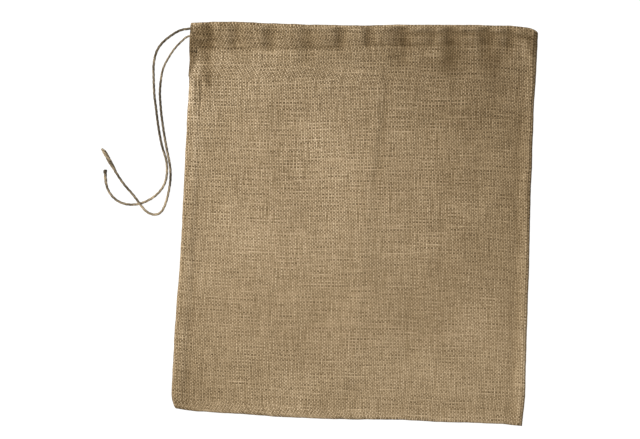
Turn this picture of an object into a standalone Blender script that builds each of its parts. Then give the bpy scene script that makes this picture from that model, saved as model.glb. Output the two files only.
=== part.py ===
"""Hessian drawstring sack, empty and lying flat, with the two ends of its cord out at one side.

X runs across the sack, Y up to its mouth and Z up from the surface it lies on.  The origin is
at the middle of the cloth's footprint, on that surface.  Sizes are written in millimetres and
become metres where the meshes are made.

The sack is one cut of cloth: folded down the right side, sewn down the left side and along the
bottom with the allowances inside, and turned in at the mouth as a casing for the cord.
"""
from collections import namedtuple
import math

import bmesh
import bpy
import numpy as np
from mathutils import Matrix, Vector

MM = 0.001

# Driving sizes
CLOTH = 1.2             # thickness of the hessian
CORD = 2.4              # diameter of the twine
CLEAR = 0.3             # gap that touching pieces keep
SIDE_SEAM = 13.0        # width of the allowance inside the left seam
BOTTOM_SEAM = 11.0      # width of the allowance inside the bottom seam
HEM_TURN = 3.0          # cloth of the hem below its stitch line
BODY_AIR = 1.5          # space between the layers in the middle of the sack
LEAST_AIR = 0.4         # and where a trough of the casing presses them together
SEAM_RIM = 3.0          # how far the rounding of a sewn edge reaches in
FOLD_RADIUS = 5.0       # how far the right fold's rounding reaches in, along the body
CASING_FOLD_RADIUS = 7.5
BACK_PEEK = 1.2         # how far the back layer reaches past the front beside the slit

# The outline, corner to corner
Across = namedtuple("Across", "y x")
LEFT_SIDE = (
    Across(-230, -201.9), Across(-190, -201.5), Across(-120, -200.8), Across(-60, -199.0),
    Across(20, -198.2), Across(90, -198.2), Across(160, -197.6), Across(214, -198.8),
)
RIGHT_SIDE = (
    Across(-230, 199.9), Across(-205, 201.7), Across(-150, 201.2), Across(-100, 200.4),
    Across(-40, 199.7), Across(20, 198.2), Across(90, 198.0), Across(135, 197.3),
    Across(180, 197.1), Across(208, 198.0), Across(220, 197.2),
)
Along = namedtuple("Along", "x y")
TOP_EDGE = (
    Along(-200, 214.6), Along(-186, 216.4), Along(-150, 218.4), Along(-120, 218.2),
    Along(-50, 219.3), Along(5, 221.0), Along(45, 223.4), Along(95, 225.4), Along(132, 227.5),
    Along(164, 227.8), Along(180, 226.4), Along(191, 224.1), Along(199, 219.8),
)
BOTTOM_EDGE = (
    Along(-203, -225.2), Along(-190, -226.9), Along(-160, -228.2), Along(-80, -230.0),
    Along(0, -229.5), Along(60, -227.2), Along(110, -227.7), Along(165, -226.8),
    Along(201, -227.6),
)
STITCH_LINE = (
    Along(-200, 187.5), Along(-60, 193.9), Along(80, 200.3), Along(160, 203.4), Along(199, 199.5),
)
CORNER_DEPTH = 9.0      # how far the bottom left corner is rounded off, across
CORNER_HEIGHT = 23.0    # and up
SLIT_END = 0.905        # share of the body's height at which the left seam stops
SLIT_EDGE = (           # how far the front's edge draws back from the slit, up the sack
    Across(146, 0.0), Across(153, 0.3), Across(160, 3.4), Across(167, 6.4), Across(176, 4.6),
    Across(187, 2.2), Across(198, 0.8), Across(210, 0.0),
)

# Relief
CASING_CREST = (        # height of the front's face over the casing's crests
    Along(-200, 10.3), Along(-184, 11.2), Along(-150, 12.2), Along(20, 12.6), Along(199, 12.5),
)
MOUTH_RAMP = 85.0       # how far below the casing the front starts to rise to it
# Ruffles are the troughs between those crests.  Depth is a share of GATHER, tail how far one runs
# on below the stitching, and lean how much longer its left flank is than its right.
Ruffle = namedtuple("Ruffle", "x half_width depth tail lean")
RUFFLES = (
    Ruffle(-181, 18, 1.00, 10, 0.2), Ruffle(-146, 12, 0.60, 5, 0.0), Ruffle(-109, 11, 0.70, 4, 0.0),
    Ruffle(-66, 16, 0.50, 6, 0.0), Ruffle(-29, 10, 0.80, 4, 0.0), Ruffle(5, 9, 0.70, 4, 0.0),
    Ruffle(44, 16, 1.00, 6, 0.3), Ruffle(76, 9, 0.35, 4, 0.0), Ruffle(99, 12, 0.85, 36, 0.0),
    Ruffle(137, 14, 0.75, 38, 0.0), Ruffle(165, 11, 0.55, 8, 0.0),
)
GATHER = 4.0
STITCHED = 0.55         # share of a trough's depth that is left at the stitching
TOP_FADE = 0.7          # share of it that is gone at the top
# A crease is a soft ridge (height above nought) or trough between two points.
Crease = namedtuple("Crease", "x y to_x to_y half_width height")
CREASES = (
    Crease(21, 176, 4, -196, 64, 2.5),
    Crease(-196, 166, -176, 126, 9, -1.0),
    Crease(14, -186, -10, -210, 9, -0.6),
    Crease(-120, 120, -86, -30, 40, 0.5),
    Crease(118, 96, 128, -120, 44, 0.5),
    Crease(70, -40, 64, -170, 30, -0.4),
)
Swell = namedtuple("Swell", "x y reach_x reach_y height")
SWELLS = (
    Swell(-70, 30, 110, 150, 0.5), Swell(150, 150, 70, 70, 0.5), Swell(80, -110, 110, 90, 0.4),
    Swell(-120, -150, 80, 70, 0.4),
)
# Puckers are short dents that a seam draws into the cloth beside it.
Pucker = namedtuple("Pucker", "x y half_width half_height depth")
PUCKERS = (
    Pucker(-184, 120, 8, 16, 0.7), Pucker(-184, -10, 8, 9, 0.5), Pucker(-186, -41, 8, 8, 0.6),
    Pucker(-187, -78, 9, 9, 0.6), Pucker(-188, -120, 8, 10, 0.6), Pucker(-188, -160, 9, 8, 0.5),
    Pucker(-190, -205, 8, 7, 0.5), Pucker(187, 178, 8, 12, 0.6), Pucker(187, 128, 7, 10, 0.5),
    Pucker(188, -12, 8, 13, 0.6), Pucker(189, -98, 8, 14, 0.6), Pucker(189, -160, 8, 10, 0.4),
)

# The casing, as shares of its height from the stitch line (0) to the top fold (1)
FRONT_CORD_LINE = 0.81  # the front run of the cord lies just under the fold
FOLD_CORD_LINE = 0.66   # it drops to here before it goes round the right fold
BACK_CORD_LINE = 0.46   # and comes back along the middle of the rear casing
CHANNEL_SPACE = CORD + 4 * CLEAR     # space where the cord runs in its channel
CHANNEL_AIR = 0.5       # and in the empty part of it
CORD_RIDGE = 0.7        # how far the front's cord raises the cloth
CORD_CREASE = 1.8       # how deep the cloth is pressed in below that ridge

# Where the mesh has its rows, bottom to top, and its columns
BOTTOM_ANGLES = (20, 55)
BODY_ROWS = (0, 0.05, 0.18, 0.36, 0.54, 0.72, SLIT_END, 0.955, 1)
CASING_ROWS = (0, 0.23, 0.46, 0.66, 0.81, 0.95)
NOSE_ROUNDING = 0.8     # how much of its half thickness the fold has at the last casing row
LEFT_ANGLES = (25, 55)
FOLD_ANGLES = (60, 30, 0, -30, -60)
FLAT_LEFT = -196.0      # the flat of the front lies about between these, across
FLAT_RIGHT = 190.0
LAST_COLUMN = 0.972     # share of the flat at which the last column before the fold stands

# The cord's ends, from just inside the casing to their cut tips: across, up, height of middle
END_FRONT = (
    (-193.0, 208.9, 0), (-199.5, 208.7, 0), (-205, 206.9, 6.6), (-212.5, 204.3, 4.0),
    (-221, 198.5, 2.0), (-229.5, 190.9, 1.25), (-235.1, 182.3, 1.25), (-237.6, 173.0, 1.25),
    (-238.4, 163.5, 1.25), (-237.7, 151.5, 1.25), (-236.9, 140, 1.25), (-235.7, 128.5, 1.25),
    (-233.5, 116.5, 1.25), (-231.2, 102.5, 1.25), (-228.2, 87.5, 1.25), (-224.4, 72.5, 1.25),
    (-222.0, 65.5, 1.25), (-219.4, 58.8, 1.25), (-218.1, 52.0, 1.25), (-217.6, 45.0, 1.25),
    (-217.8, 37.5, 1.25), (-220.1, 28.8, 1.25), (-225.8, 19.8, 1.25), (-234.6, 12.1, 1.25),
    (-244.8, 6.8, 1.25), (-254.0, 4.6, 1.25), (-263.2, 4.9, 1.25), (-271.8, 7.7, 1.25),
    (-279.4, 13.7, 1.25), (-284.9, 22.2, 1.25), (-287.2, 31.4, 1.25), (-288.1, 43.0, 1.25),
)
END_BACK = (
    (-193.0, 199.9, 0), (-200.0, 199.4, 0), (-206.4, 194.5, 2.1), (-213, 187.8, 1.5),
    (-218.6, 179.6, 1.25), (-223.3, 171.1, 1.25), (-227.1, 162.5, 1.25), (-228.9, 152.8, 1.25),
    (-229.6, 143.8, 1.25), (-229.9, 134.5, 1.25), (-228.8, 123, 1.25), (-227.2, 110.5, 1.25),
    (-224.8, 97, 1.25), (-222.0, 83, 1.25), (-219.0, 70, 1.25), (-217.2, 62.5, 1.25),
    (-215.5, 56.0, 1.25), (-213.7, 46, 1.25), (-213.2, 35.5, 1.25), (-214.3, 23.8, 1.25),
    (-216.4, 12, 1.25), (-219.3, 2.6, 1.25), (-223.1, -3.8, 1.3), (-229.3, -5.9, 1.7),
    (-235.6, -4.6, 2.6), (-241.4, -0.4, 3.7), (-247.5, 7.0, 4.1), (-254.1, 15.1, 3.5),
    (-259.5, 20.6, 2.4), (-264.8, 26.0, 1.6), (-273.0, 36.6, 1.25), (-279.6, 46.9, 1.25),
    (-284.4, 54.5, 1.25), (-288.4, 61.2, 1.25), (-292.0, 66.0, 1.25),
)
END_START = -193.0      # where a free end meets the run inside the casing, across
POINT_SPACING = 2.4 * CORD

HESSIAN = ((0.33, 0.235, 0.135, 1.0), 0.95)     # colour, roughness
TWINE = ((0.30, 0.22, 0.13, 1.0), 0.9)


# ---------------------------------------------------------------- curves and rounding

def curve(table, at):
    """Read the second column of a table along a smooth curve through its rows."""
    place, value = np.array(table, dtype=float).T
    slope = np.gradient(value, place)
    row = int(np.clip(np.searchsorted(place, at) - 1, 0, len(place) - 2))
    span = place[row + 1] - place[row]
    part = min(max((at - place[row]) / span, 0.0), 1.0)
    rest = 1 - part
    return (value[row] * (1 + 2 * part) * rest ** 2 + slope[row] * span * part * rest ** 2
            + value[row + 1] * (3 - 2 * part) * part ** 2
            - slope[row + 1] * span * rest * part ** 2)


def ease(value, start, end):
    """0 before start, 1 after end, smooth between."""
    part = min(max((value - start) / (end - start), 0.0), 1.0)
    return part * part * (3 - 2 * part)


def bump(distance, half_width):
    """1 in the middle, falling smoothly to 0 at half_width."""
    if abs(distance) >= half_width:
        return 0.0
    return 0.5 + 0.5 * math.cos(math.pi * distance / half_width)


def peak(distance, half_width):
    """1 at a sharp crest, falling to 0 at half_width."""
    return max(1 - abs(distance) / half_width, 0.0) ** 2


def mix(first, second, share):
    return first + (second - first) * share


# ---------------------------------------------------------------- the outline

def left_side(y):
    below = min(max((-205 - y) / CORNER_HEIGHT, 0.0), 1.0)
    return curve(LEFT_SIDE, y) + CORNER_DEPTH * (1 - math.sqrt(1 - below ** 2))


def right_side(y):
    return curve(RIGHT_SIDE, y)


def fold_radius(y):
    """The right fold is fuller where the casing and the cord go round it."""
    return mix(FOLD_RADIUS, CASING_FOLD_RADIUS, ease(y, 150, 195))


def casing_share(x, y):
    """Height within the casing: 0 on the stitch line, 1 on the top fold."""
    stitch = curve(STITCH_LINE, x)
    return (y - stitch) / (curve(TOP_EDGE, x) - stitch)


# ---------------------------------------------------------------- heights of the cloth

def segment_distance(x, y, crease):
    """Distance from a crease's line, and how far along it the nearest point lies, 0 to 1."""
    run_x = crease.to_x - crease.x
    run_y = crease.to_y - crease.y
    along = ((x - crease.x) * run_x + (y - crease.y) * run_y) / (run_x ** 2 + run_y ** 2)
    held = min(max(along, 0.0), 1.0)
    return math.hypot(x - crease.x - held * run_x, y - crease.y - held * run_y), held


def body_relief(x, y):
    """Swells, creases and puckers on the front of the body."""
    total = 0.0
    for swell in SWELLS:
        total += swell.height * bump(x - swell.x, swell.reach_x) * bump(y - swell.y, swell.reach_y)
    for crease in CREASES:
        distance, along = segment_distance(x, y, crease)
        fade = ease(along, 0, 0.15) * ease(1 - along, 0, 0.15)
        total += crease.height * peak(distance, crease.half_width) * fade
    for pucker in PUCKERS:
        total -= (pucker.depth * bump(x - pucker.x, pucker.half_width)
                  * bump(y - pucker.y, pucker.half_height))
    return total


def gathers(x, y):
    """How far the ruffles' troughs dip below the casing's crests."""
    share = casing_share(x, y)
    below = curve(STITCH_LINE, x) - y
    trough = 0.0
    for ruffle in RUFFLES:
        away = (x - ruffle.x) / ruffle.half_width
        away *= 1 + math.copysign(ruffle.lean, away)
        trough += ruffle.depth * bump(away, 1) * (1 - ease(below, 0, ruffle.tail))
    along = mix(STITCHED, 1, ease(share, 0, 0.2)) * (1 - TOP_FADE * ease(share, 0.75, 1))
    return GATHER * min(trough, 1) * along


def front_face(x, y):
    """Height of the front's outer face."""
    share = casing_share(x, y)
    fold = 2.0 * (1 - ease(right_side(y) - x, 4, 17))
    seam = 1.4 * (1 - ease(x - left_side(y), SIDE_SEAM - 4, SIDE_SEAM + 5))
    bottom = 0.9 * (1 - ease(y - curve(BOTTOM_EDGE, x), BOTTOM_SEAM - 4, BOTTOM_SEAM + 5))
    stitch = curve(STITCH_LINE, x)
    level = mix(2 * CLOTH + BODY_AIR + max(fold, seam, bottom), curve(CASING_CREST, x),
                ease(y, stitch - MOUTH_RAMP, stitch))
    relief = body_relief(x, y) * (1 - ease(share, 0, 0.3))
    pressed = CORD_CREASE * ease(x, 10, 70) * bump(share - 0.62, 0.16)
    ridge = CORD_RIDGE * bump(share - cord_line(x), 0.17)
    return max(level + relief - gathers(x, y) - pressed + ridge, 2 * CLOTH + 0.6)


def cord_line(x):
    """Share of the casing's height at which the front run of the cord lies."""
    return mix(FRONT_CORD_LINE, FOLD_CORD_LINE, ease(x, 140, 184))


def cord_channel(distance, reach):
    """Space that the cord holds open, at a distance from its line in shares of the casing."""
    return CHANNEL_SPACE * min(1.4 * bump(distance, reach), 1.0)


def front_channel(x, share):
    """Space between the front casing's outer cloth and its hem."""
    opened = ease(share, 0, 0.25)
    reach = mix(0.36, 0.65, ease(x, 130, 170))
    return max(CHANNEL_AIR, cord_channel(share - cord_line(x), reach)) * opened


def back_channel(x, share):
    """Space between the rear casing's outer cloth and its hem."""
    opened = ease(share, 0, 0.25)
    reach = mix(0.30, 0.75, ease(x, 145, 185))
    return max(CHANNEL_AIR, cord_channel(share - BACK_CORD_LINE, reach)) * opened


def side_channel(share):
    """Space in the casing where it goes round the right fold."""
    return math.sqrt(cord_channel(share - 0.57, 0.6) * CHANNEL_SPACE)


def layer_heights(x, y, layer):
    """Heights of one face of the cloth: on the front of the sack and on its back."""
    share = casing_share(x, y)
    front = front_channel(x, share) if share > 0 else 0.0
    back = back_channel(x, share) if share > 0 else 0.0
    top = front_face(x, y)
    if y > curve(STITCH_LINE, x) - HEM_TURN - 0.01:
        top = max(top, 4 * CLOTH + LEAST_AIR + back + front)
    depth = {
        "outer": (0.0, 0.0),
        "inner": (CLOTH, CLOTH),
        "ceiling": (CLOTH, CLOTH),
        "nose": (CLOTH + front / 2, CLOTH + back / 2),
        "floor": (CLOTH + front, CLOTH + back),
        "hem": (2 * CLOTH + front, 2 * CLOTH + back),
    }[layer]
    return top - depth[0], depth[1]


def fold_inset(share, layer):
    """How far inside the right edge one face of the cloth goes round the fold."""
    channel = side_channel(share) if share > 0 else 0.0
    return {
        "outer": 0.0,
        "inner": CLOTH,
        "ceiling": CLOTH,
        "nose": CLOTH + channel / 2,
        "floor": CLOTH + channel,
        "hem": 2 * CLOTH + channel,
    }[layer]


# ---------------------------------------------------------------- the cloth's mesh

Column = namedtuple("Column", "kind angle share")
Row = namedtuple("Row", "kind value")


def column_list():
    """Columns from the front's left edge, round the right fold, to the back's left edge."""
    shares = [0.0]
    for ruffle in RUFFLES:
        for step in (-0.6, 0, 0.6):
            x = ruffle.x + step * ruffle.half_width
            shares.append((x - FLAT_LEFT) / (FLAT_RIGHT - FLAT_LEFT))
    shares += [LAST_COLUMN, 1.0]
    rim = [Column("rim", angle, 0) for angle in LEFT_ANGLES]
    front = [Column("flat", 90, share) for share in shares]
    fold = [Column("fold", angle, 1) for angle in FOLD_ANGLES]
    back = [Column(column.kind, -column.angle, column.share) for column in reversed(rim + front)]
    return rim + front + fold + back


ROWS = ([Row("rim", angle) for angle in BOTTOM_ANGLES] + [Row("body", share) for share in BODY_ROWS]
        + [Row("casing", share) for share in CASING_ROWS])
SLIT_ROW = ROWS.index(Row("body", SLIT_END))
HEM_ROW = ROWS.index(Row("body", 1))
STITCH_ROW = HEM_ROW + 1


def channel_height(x, share):
    """Where a share of the casing's height lies in the channel, whose top is one cloth lower."""
    return mix(curve(STITCH_LINE, x), curve(TOP_EDGE, x) - CLOTH, share)


def row_height(x, row, layer):
    """Where a row lies, up the sack, on one face of the cloth."""
    bottom = curve(BOTTOM_EDGE, x)
    stitch = curve(STITCH_LINE, x)
    inset = BOTTOM_SEAM if layer == "inner" else 0.0
    reach = CLOTH if layer == "inner" else SEAM_RIM
    if row.kind == "rim":
        return bottom + inset + reach * (1 - math.cos(math.radians(row.value)))
    if row.kind == "body":
        return mix(bottom + inset + reach, stitch - HEM_TURN, row.value)
    if row.kind == "channel":
        return channel_height(x, row.value)
    return mix(stitch, curve(TOP_EDGE, x), row.value)


def side_place(y, column, row, layer, share):
    """Where a column lies, across the sack, on one face of the cloth."""
    left = left_side(y)
    right = right_side(y)
    radius = fold_radius(y)
    sewn = row.kind == "rim" or (row.kind == "body" and row.value <= SLIT_END)
    inset = SIDE_SEAM if layer == "inner" and sewn else 0.0
    reach = CLOTH if layer == "inner" and sewn else SEAM_RIM
    if not sewn:
        left += curve(SLIT_EDGE, y) if column.angle > 0 else -BACK_PEEK
    if column.kind == "rim":
        return left + inset + reach * (1 - math.cos(math.radians(column.angle)))
    if column.kind == "flat":
        return mix(left + inset + reach, right - radius, column.share)
    hug = fold_inset(share, layer)
    if row.value == CASING_ROWS[-1]:
        hug = mix(fold_inset(share, "nose"), hug, NOSE_ROUNDING)
    return right - hug - (radius - hug) * (1 - math.cos(math.radians(column.angle)))


def cloth_point(column, row, layer):
    """One point of the cloth, on the given face of it."""
    guess = mix(left_side(0), right_side(0), column.share)
    y = row_height(guess, row, layer)
    share = row.value if row.kind in ("casing", "channel") else -1.0
    x = side_place(y, column, row, layer, share)
    y = row_height(x, row, layer)
    front, back = layer_heights(x, mix_casing(x, y, share), layer)
    if row.value == CASING_ROWS[-1]:
        nose_front, nose_back = layer_heights(x, mix_casing(x, y, share), "nose")
        front = mix(nose_front, front, NOSE_ROUNDING)
        back = mix(nose_back, back, NOSE_ROUNDING)
    sewn = row.kind == "rim" or (row.kind == "body" and row.value <= SLIT_END)
    turn = math.sin(math.radians(column.angle))
    if column.kind == "rim" and not sewn:
        turn = math.copysign(1.0, turn)
    if row.kind == "rim":
        turn *= math.sin(math.radians(row.value))
    return x, y, (front + back) / 2 + (front - back) / 2 * turn


def mix_casing(x, y, share):
    """Height up the sack at which the casing's layers are read for a row of the casing."""
    if share < 0:
        return y
    return mix(curve(STITCH_LINE, x), curve(TOP_EDGE, x), share)


def sack_section(column):
    """The section at one column: round the cloth, and round the channel for the cord."""
    casing = ROWS[STITCH_ROW:]
    inside = [Row("channel", row.value) for row in casing[1:]]
    around = [cloth_point(column, row, "outer") for row in ROWS]
    around.append(cloth_point(column, Row("casing", 1), "nose"))
    around += [cloth_point(column, row, "hem") for row in reversed(casing)]
    hem_edge = Row("body", 1)
    around.append(cloth_point(column, hem_edge, "hem"))
    around += [cloth_point(column, row, "inner") for row in reversed(ROWS[:HEM_ROW + 1])]
    channel = [cloth_point(column, casing[0], "nose")]
    channel += [cloth_point(column, row, "ceiling") for row in inside]
    channel.append(cloth_point(column, Row("channel", 1), "nose"))
    channel += [cloth_point(column, row, "floor") for row in reversed(inside)]
    return around, channel


def make_sack():
    mesh = bmesh.new()
    columns = column_list()
    rings = []
    channels = []
    for column in columns:
        around, channel = sack_section(column)
        rings.append([mesh.verts.new([value * MM for value in point]) for point in around])
        channels.append([mesh.verts.new([value * MM for value in point]) for point in channel])
    last = len(columns) - 1
    size = len(rings[0])
    for i in range(last):
        for j in range(size - 1):
            mesh.faces.new((rings[i][j], rings[i + 1][j], rings[i + 1][j + 1], rings[i][j + 1]))
        for j in range(len(channels[0])):
            k = (j + 1) % len(channels[0])
            mesh.faces.new((channels[i][j], channels[i][k], channels[i + 1][k], channels[i + 1][j]))
    close_bottom(mesh, rings, 0)
    close_bottom(mesh, rings, size - 1)
    close_left_seam(mesh, rings, size)
    for i in (0, last):
        close_slit_edge(mesh, rings[i], channels[i])
    bmesh.ops.triangulate(mesh, faces=mesh.faces[:])
    bmesh.ops.recalc_face_normals(mesh, faces=mesh.faces[:])
    return finish_mesh(mesh, "sack_cloth")


def close_bottom(mesh, rings, j):
    """Join the front's and the back's bottom edges, column by column."""
    last = len(rings) - 1
    for i in range(last // 2):
        corners = [rings[i][j], rings[i + 1][j], rings[last - i - 1][j], rings[last - i][j]]
        if corners[1] is corners[2]:
            corners.pop(2)
        mesh.faces.new(corners)


def close_left_seam(mesh, rings, size):
    """Join the front and the back down the left seam, outside and inside, up to the slit."""
    first = rings[0]
    final = rings[-1]
    for j in range(SLIT_ROW):
        k = size - 1 - j
        mesh.faces.new((first[j], first[j + 1], final[j + 1], final[j]))
        mesh.faces.new((first[k], first[k - 1], final[k - 1], final[k]))
    k = size - 1 - SLIT_ROW
    mesh.faces.new((first[SLIT_ROW], first[k], final[k], final[SLIT_ROW]))


def close_slit_edge(mesh, ring, channel):
    """The cut end of one layer beside the slit, with the mouth of its channel."""
    size = len(ring)
    for j in range(SLIT_ROW, HEM_ROW):
        k = size - 1 - j
        mesh.faces.new((ring[j], ring[j + 1], ring[k - 1], ring[k]))
    inner = size - 1 - HEM_ROW
    mesh.faces.new((ring[HEM_ROW], ring[STITCH_ROW], channel[0], ring[inner]))
    mesh.faces.new((ring[inner], channel[0], ring[inner - 2], ring[inner - 1]))
    count = len(channel)
    for j in range(count):
        k = (j + 1) % count
        mesh.faces.new((ring[STITCH_ROW + j], ring[STITCH_ROW + j + 1], channel[k], channel[j]))


# ---------------------------------------------------------------- the cord

def smooth_route(points, spacing):
    """Points at an even spacing on a smooth curve through a route's own points."""
    route = np.array(points, dtype=float)
    lengths = np.linalg.norm(np.diff(route, axis=0), axis=1)
    place = np.concatenate(([0.0], np.cumsum(lengths)))
    count = int(round(place[-1] / spacing)) + 1
    stops = np.linspace(0, place[-1], count)
    columns = [[curve(tuple(zip(place, values)), stop) for stop in stops] for values in route.T]
    return list(zip(*columns))


def between_rows(share, read):
    """A value read at the casing rows below and above a share, and taken evenly between them."""
    above = next(k for k, row in enumerate(CASING_ROWS) if row >= share)
    low, high = CASING_ROWS[above - 1], CASING_ROWS[above]
    return mix(read(low), read(high), (share - low) / (high - low))


def channel_middle(x, face, share):
    """Height up the sack, and off the floor, of the middle of the channel on one face."""
    def middle(row):
        y = mix(curve(STITCH_LINE, x), curve(TOP_EDGE, x), row)
        return (layer_heights(x, y, "ceiling")[face] + layer_heights(x, y, "floor")[face]) / 2
    return channel_height(x, share), between_rows(share, middle)


def fold_route():
    """The cord's turn round the right fold, dropping from the front's line to the back's."""
    points = []
    edge = right_side(210)
    for angle in FOLD_ANGLES:
        turn = math.sin(math.radians(angle))
        share = mix(BACK_CORD_LINE, FOLD_CORD_LINE, 0.5 + angle / 180)
        hug = CLOTH + between_rows(share, side_channel) / 2
        x = edge - hug - (CASING_FOLD_RADIUS - hug) * (1 - math.cos(math.radians(angle)))
        y, high = channel_middle(x, 0, share)
        low = channel_middle(x, 1, share)[1]
        points.append((x, y, (high + low) / 2 + (high - low) / 2 * turn))
    return points


def casing_route():
    """The cord's run inside the casing: along the front, round the fold and back."""
    row = Row("casing", FOLD_CORD_LINE)
    start = END_START + CLEAR
    places = [side_place(210, column, row, "nose", row.value) for column in column_list()
              if column.kind == "flat" and column.angle > 0]
    stops = [start] + [x for x in places if x > start + CORD]
    front = [(x, *channel_middle(x, 0, cord_line(x))) for x in stops]
    back = [(x, *channel_middle(x, 1, BACK_CORD_LINE)) for x in reversed(stops)]
    return front + fold_route() + back


def end_route(points, face, share):
    """A free end's route, with its first two points set in the channel it leaves."""
    route = [list(point) for point in points]
    for point in route[:2]:
        point[1:] = channel_middle(point[0], face, share)
    return smooth_route(route, POINT_SPACING)


def make_cord(name, points):
    data = bpy.data.curves.new(name, "CURVE")
    data.dimensions = "3D"
    data.bevel_depth = CORD / 2 * MM
    data.bevel_resolution = 2
    data.use_fill_caps = True
    spline = data.splines.new("POLY")
    spline.points.add(len(points) - 1)
    for knot, point in zip(spline.points, points):
        knot.co = (*[value * MM for value in point], 1)
    cord = bpy.data.objects.new(name, data)
    bpy.context.scene.collection.objects.link(cord)
    return cord


# ---------------------------------------------------------------- objects and materials

def finish_mesh(mesh, name):
    data = bpy.data.meshes.new(name)
    mesh.to_mesh(data)
    mesh.free()
    data.shade_smooth()
    piece = bpy.data.objects.new(name, data)
    bpy.context.scene.collection.objects.link(piece)
    return piece


def give_material(piece, name, finish):
    colour, roughness = finish
    material = bpy.data.materials.get(name) or bpy.data.materials.new(name)
    material.use_nodes = True
    shader = material.node_tree.nodes["Principled BSDF"]
    shader.inputs["Base Color"].default_value = colour
    shader.inputs["Roughness"].default_value = roughness
    shader.inputs["Metallic"].default_value = 0.0
    piece.data.materials.append(material)


def centre_on(sack, pieces):
    """Move all the pieces so that the origin is at the middle of the sack's footprint."""
    across = [vertex.co.x for vertex in sack.data.vertices]
    up = [vertex.co.y for vertex in sack.data.vertices]
    middle = Vector(((min(across) + max(across)) / 2, (min(up) + max(up)) / 2, 0))
    for piece in pieces:
        piece.data.transform(Matrix.Translation(-middle))


def main():
    for old in list(bpy.data.objects):
        bpy.data.objects.remove(old, do_unlink=True)
    sack = make_sack()
    give_material(sack, "hessian", HESSIAN)
    cords = [
        make_cord("drawcord_run", casing_route()),
        make_cord("drawcord_end_front", end_route(END_FRONT, 0, FRONT_CORD_LINE)),
        make_cord("drawcord_end_back", end_route(END_BACK, 1, BACK_CORD_LINE)),
    ]
    for cord in cords:
        give_material(cord, "twine", TWINE)
    centre_on(sack, [sack] + cords)


main()
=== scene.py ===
"""Hessian drawstring sack lying flat: plain-woven jute with a gathered casing and a twine cord.

Sizes of the sack are in millimetres, on the same axes as its frame: X across, Y up to the mouth
and Z up from the surface it lies on.  They become metres where the meshes are made.
"""
from collections import namedtuple
import math
import random

import bmesh
import bpy
import numpy as np
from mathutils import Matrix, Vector


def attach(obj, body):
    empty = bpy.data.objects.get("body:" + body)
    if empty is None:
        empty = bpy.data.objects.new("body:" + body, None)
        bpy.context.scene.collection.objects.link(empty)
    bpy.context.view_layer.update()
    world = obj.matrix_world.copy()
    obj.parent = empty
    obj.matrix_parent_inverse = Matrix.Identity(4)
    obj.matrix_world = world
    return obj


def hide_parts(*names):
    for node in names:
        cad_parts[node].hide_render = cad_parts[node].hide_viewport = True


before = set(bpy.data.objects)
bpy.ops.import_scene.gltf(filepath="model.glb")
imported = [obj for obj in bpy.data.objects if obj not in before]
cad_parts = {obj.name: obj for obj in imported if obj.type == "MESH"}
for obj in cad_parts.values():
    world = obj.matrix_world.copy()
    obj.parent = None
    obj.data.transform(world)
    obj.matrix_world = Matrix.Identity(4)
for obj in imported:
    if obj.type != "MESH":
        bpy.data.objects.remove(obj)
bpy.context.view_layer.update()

MM = 0.001

# ---------------------------------------------------------------- sizes

CLOTH = 1.2             # thickness of the hessian
HEM_TURN = 3.0          # cloth of the hem below its stitch line
BODY_AIR = 1.5          # space between the layers in the middle of the sack
LEAST_AIR = 0.4         # and where a trough of the casing presses them together
LEAST_FRONT = 2 * CLOTH + 0.6   # lowest that a trough presses the front's outer face
SEAM_RIM = 3.0          # how far the rounding of a sewn edge reaches in
FOLD_RADIUS = 5.0       # how far the right fold's rounding reaches in, along the body
CASING_FOLD_RADIUS = 7.5        # and round the casing, with the cord in it
FOLD_WIDENS = (150, 195)        # heights between which the one becomes the other
SIDE_SEAM = 13.0        # seam allowances, turned inside
BOTTOM_SEAM = 11.0
CUT_WIDTH = 826.0       # the cloth before it is folded and sewn
CUT_HEIGHT = 490.0
SEWN_HEIGHT = 450.0     # in the cut cloth, from the bottom edge up to the top fold
STITCH_HEIGHT = 419.0   # and to the casing's stitch line
TURN_CLOTH = 2.0        # cloth in each half of the turn over the top
ENDS = 418              # warp yarns in the cut cloth's width
PICKS = 262             # and weft yarns in its height
MIDDLE = (0.21, -0.96)  # middle of the outline's footprint, where the frame has its origin

Across = namedtuple("Across", "y x")
LEFT_SIDE = (
    Across(-230, -201.3), Across(-190, -200.9), Across(-120, -200.2), Across(-60, -198.2),
    Across(20, -197.7), Across(90, -197.5), Across(160, -197.0), Across(214, -198.2),
)
RIGHT_SIDE = (
    Across(-230, 200.0), Across(-205, 201.9), Across(-150, 201.5), Across(-100, 200.8),
    Across(-40, 200.1), Across(20, 198.6), Across(90, 198.0), Across(135, 197.4),
    Across(165, 197.8), Across(185, 197.9), Across(208, 198.1), Across(220, 197.8),
)
Along = namedtuple("Along", "x y")
TOP_EDGE = (
    Along(-200, 213.9), Along(-192, 215.0), Along(-182, 216.1), Along(-165, 217.0),
    Along(-150, 217.8), Along(-120, 217.9), Along(-85, 218.1), Along(-39, 219.1), Along(-5, 220.1),
    Along(40, 223.0), Along(86, 224.9), Along(132, 226.8), Along(155, 227.1), Along(167, 227.5),
    Along(178, 227.0), Along(186, 226.2), Along(193, 224.4), Along(199, 221.6),
)
BOTTOM_EDGE = (
    Along(-203, -224.2), Along(-190, -226.0), Along(-160, -228.0), Along(-130, -228.2),
    Along(-80, -229.6), Along(0, -229.1), Along(60, -226.9), Along(110, -227.2),
    Along(165, -226.3), Along(201, -227.4),
)
STITCH_LINE = (
    Along(-200, 184.9), Along(-145, 187.1), Along(-109, 188.4), Along(-62, 190.8),
    Along(-29, 194.6), Along(10, 197.4), Along(80, 200.3), Along(160, 203.4), Along(199, 199.5),
)
CORNER_TOP = -205.0     # below this height the lower left corner is rounded
CORNER_DEPTH = 11.0     # how far in its rounding reaches
CORNER_HEIGHT = 23.0    # and over what height
RAGGED = 0.07           # how unevenly the edges run, in and out, in each of
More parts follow.
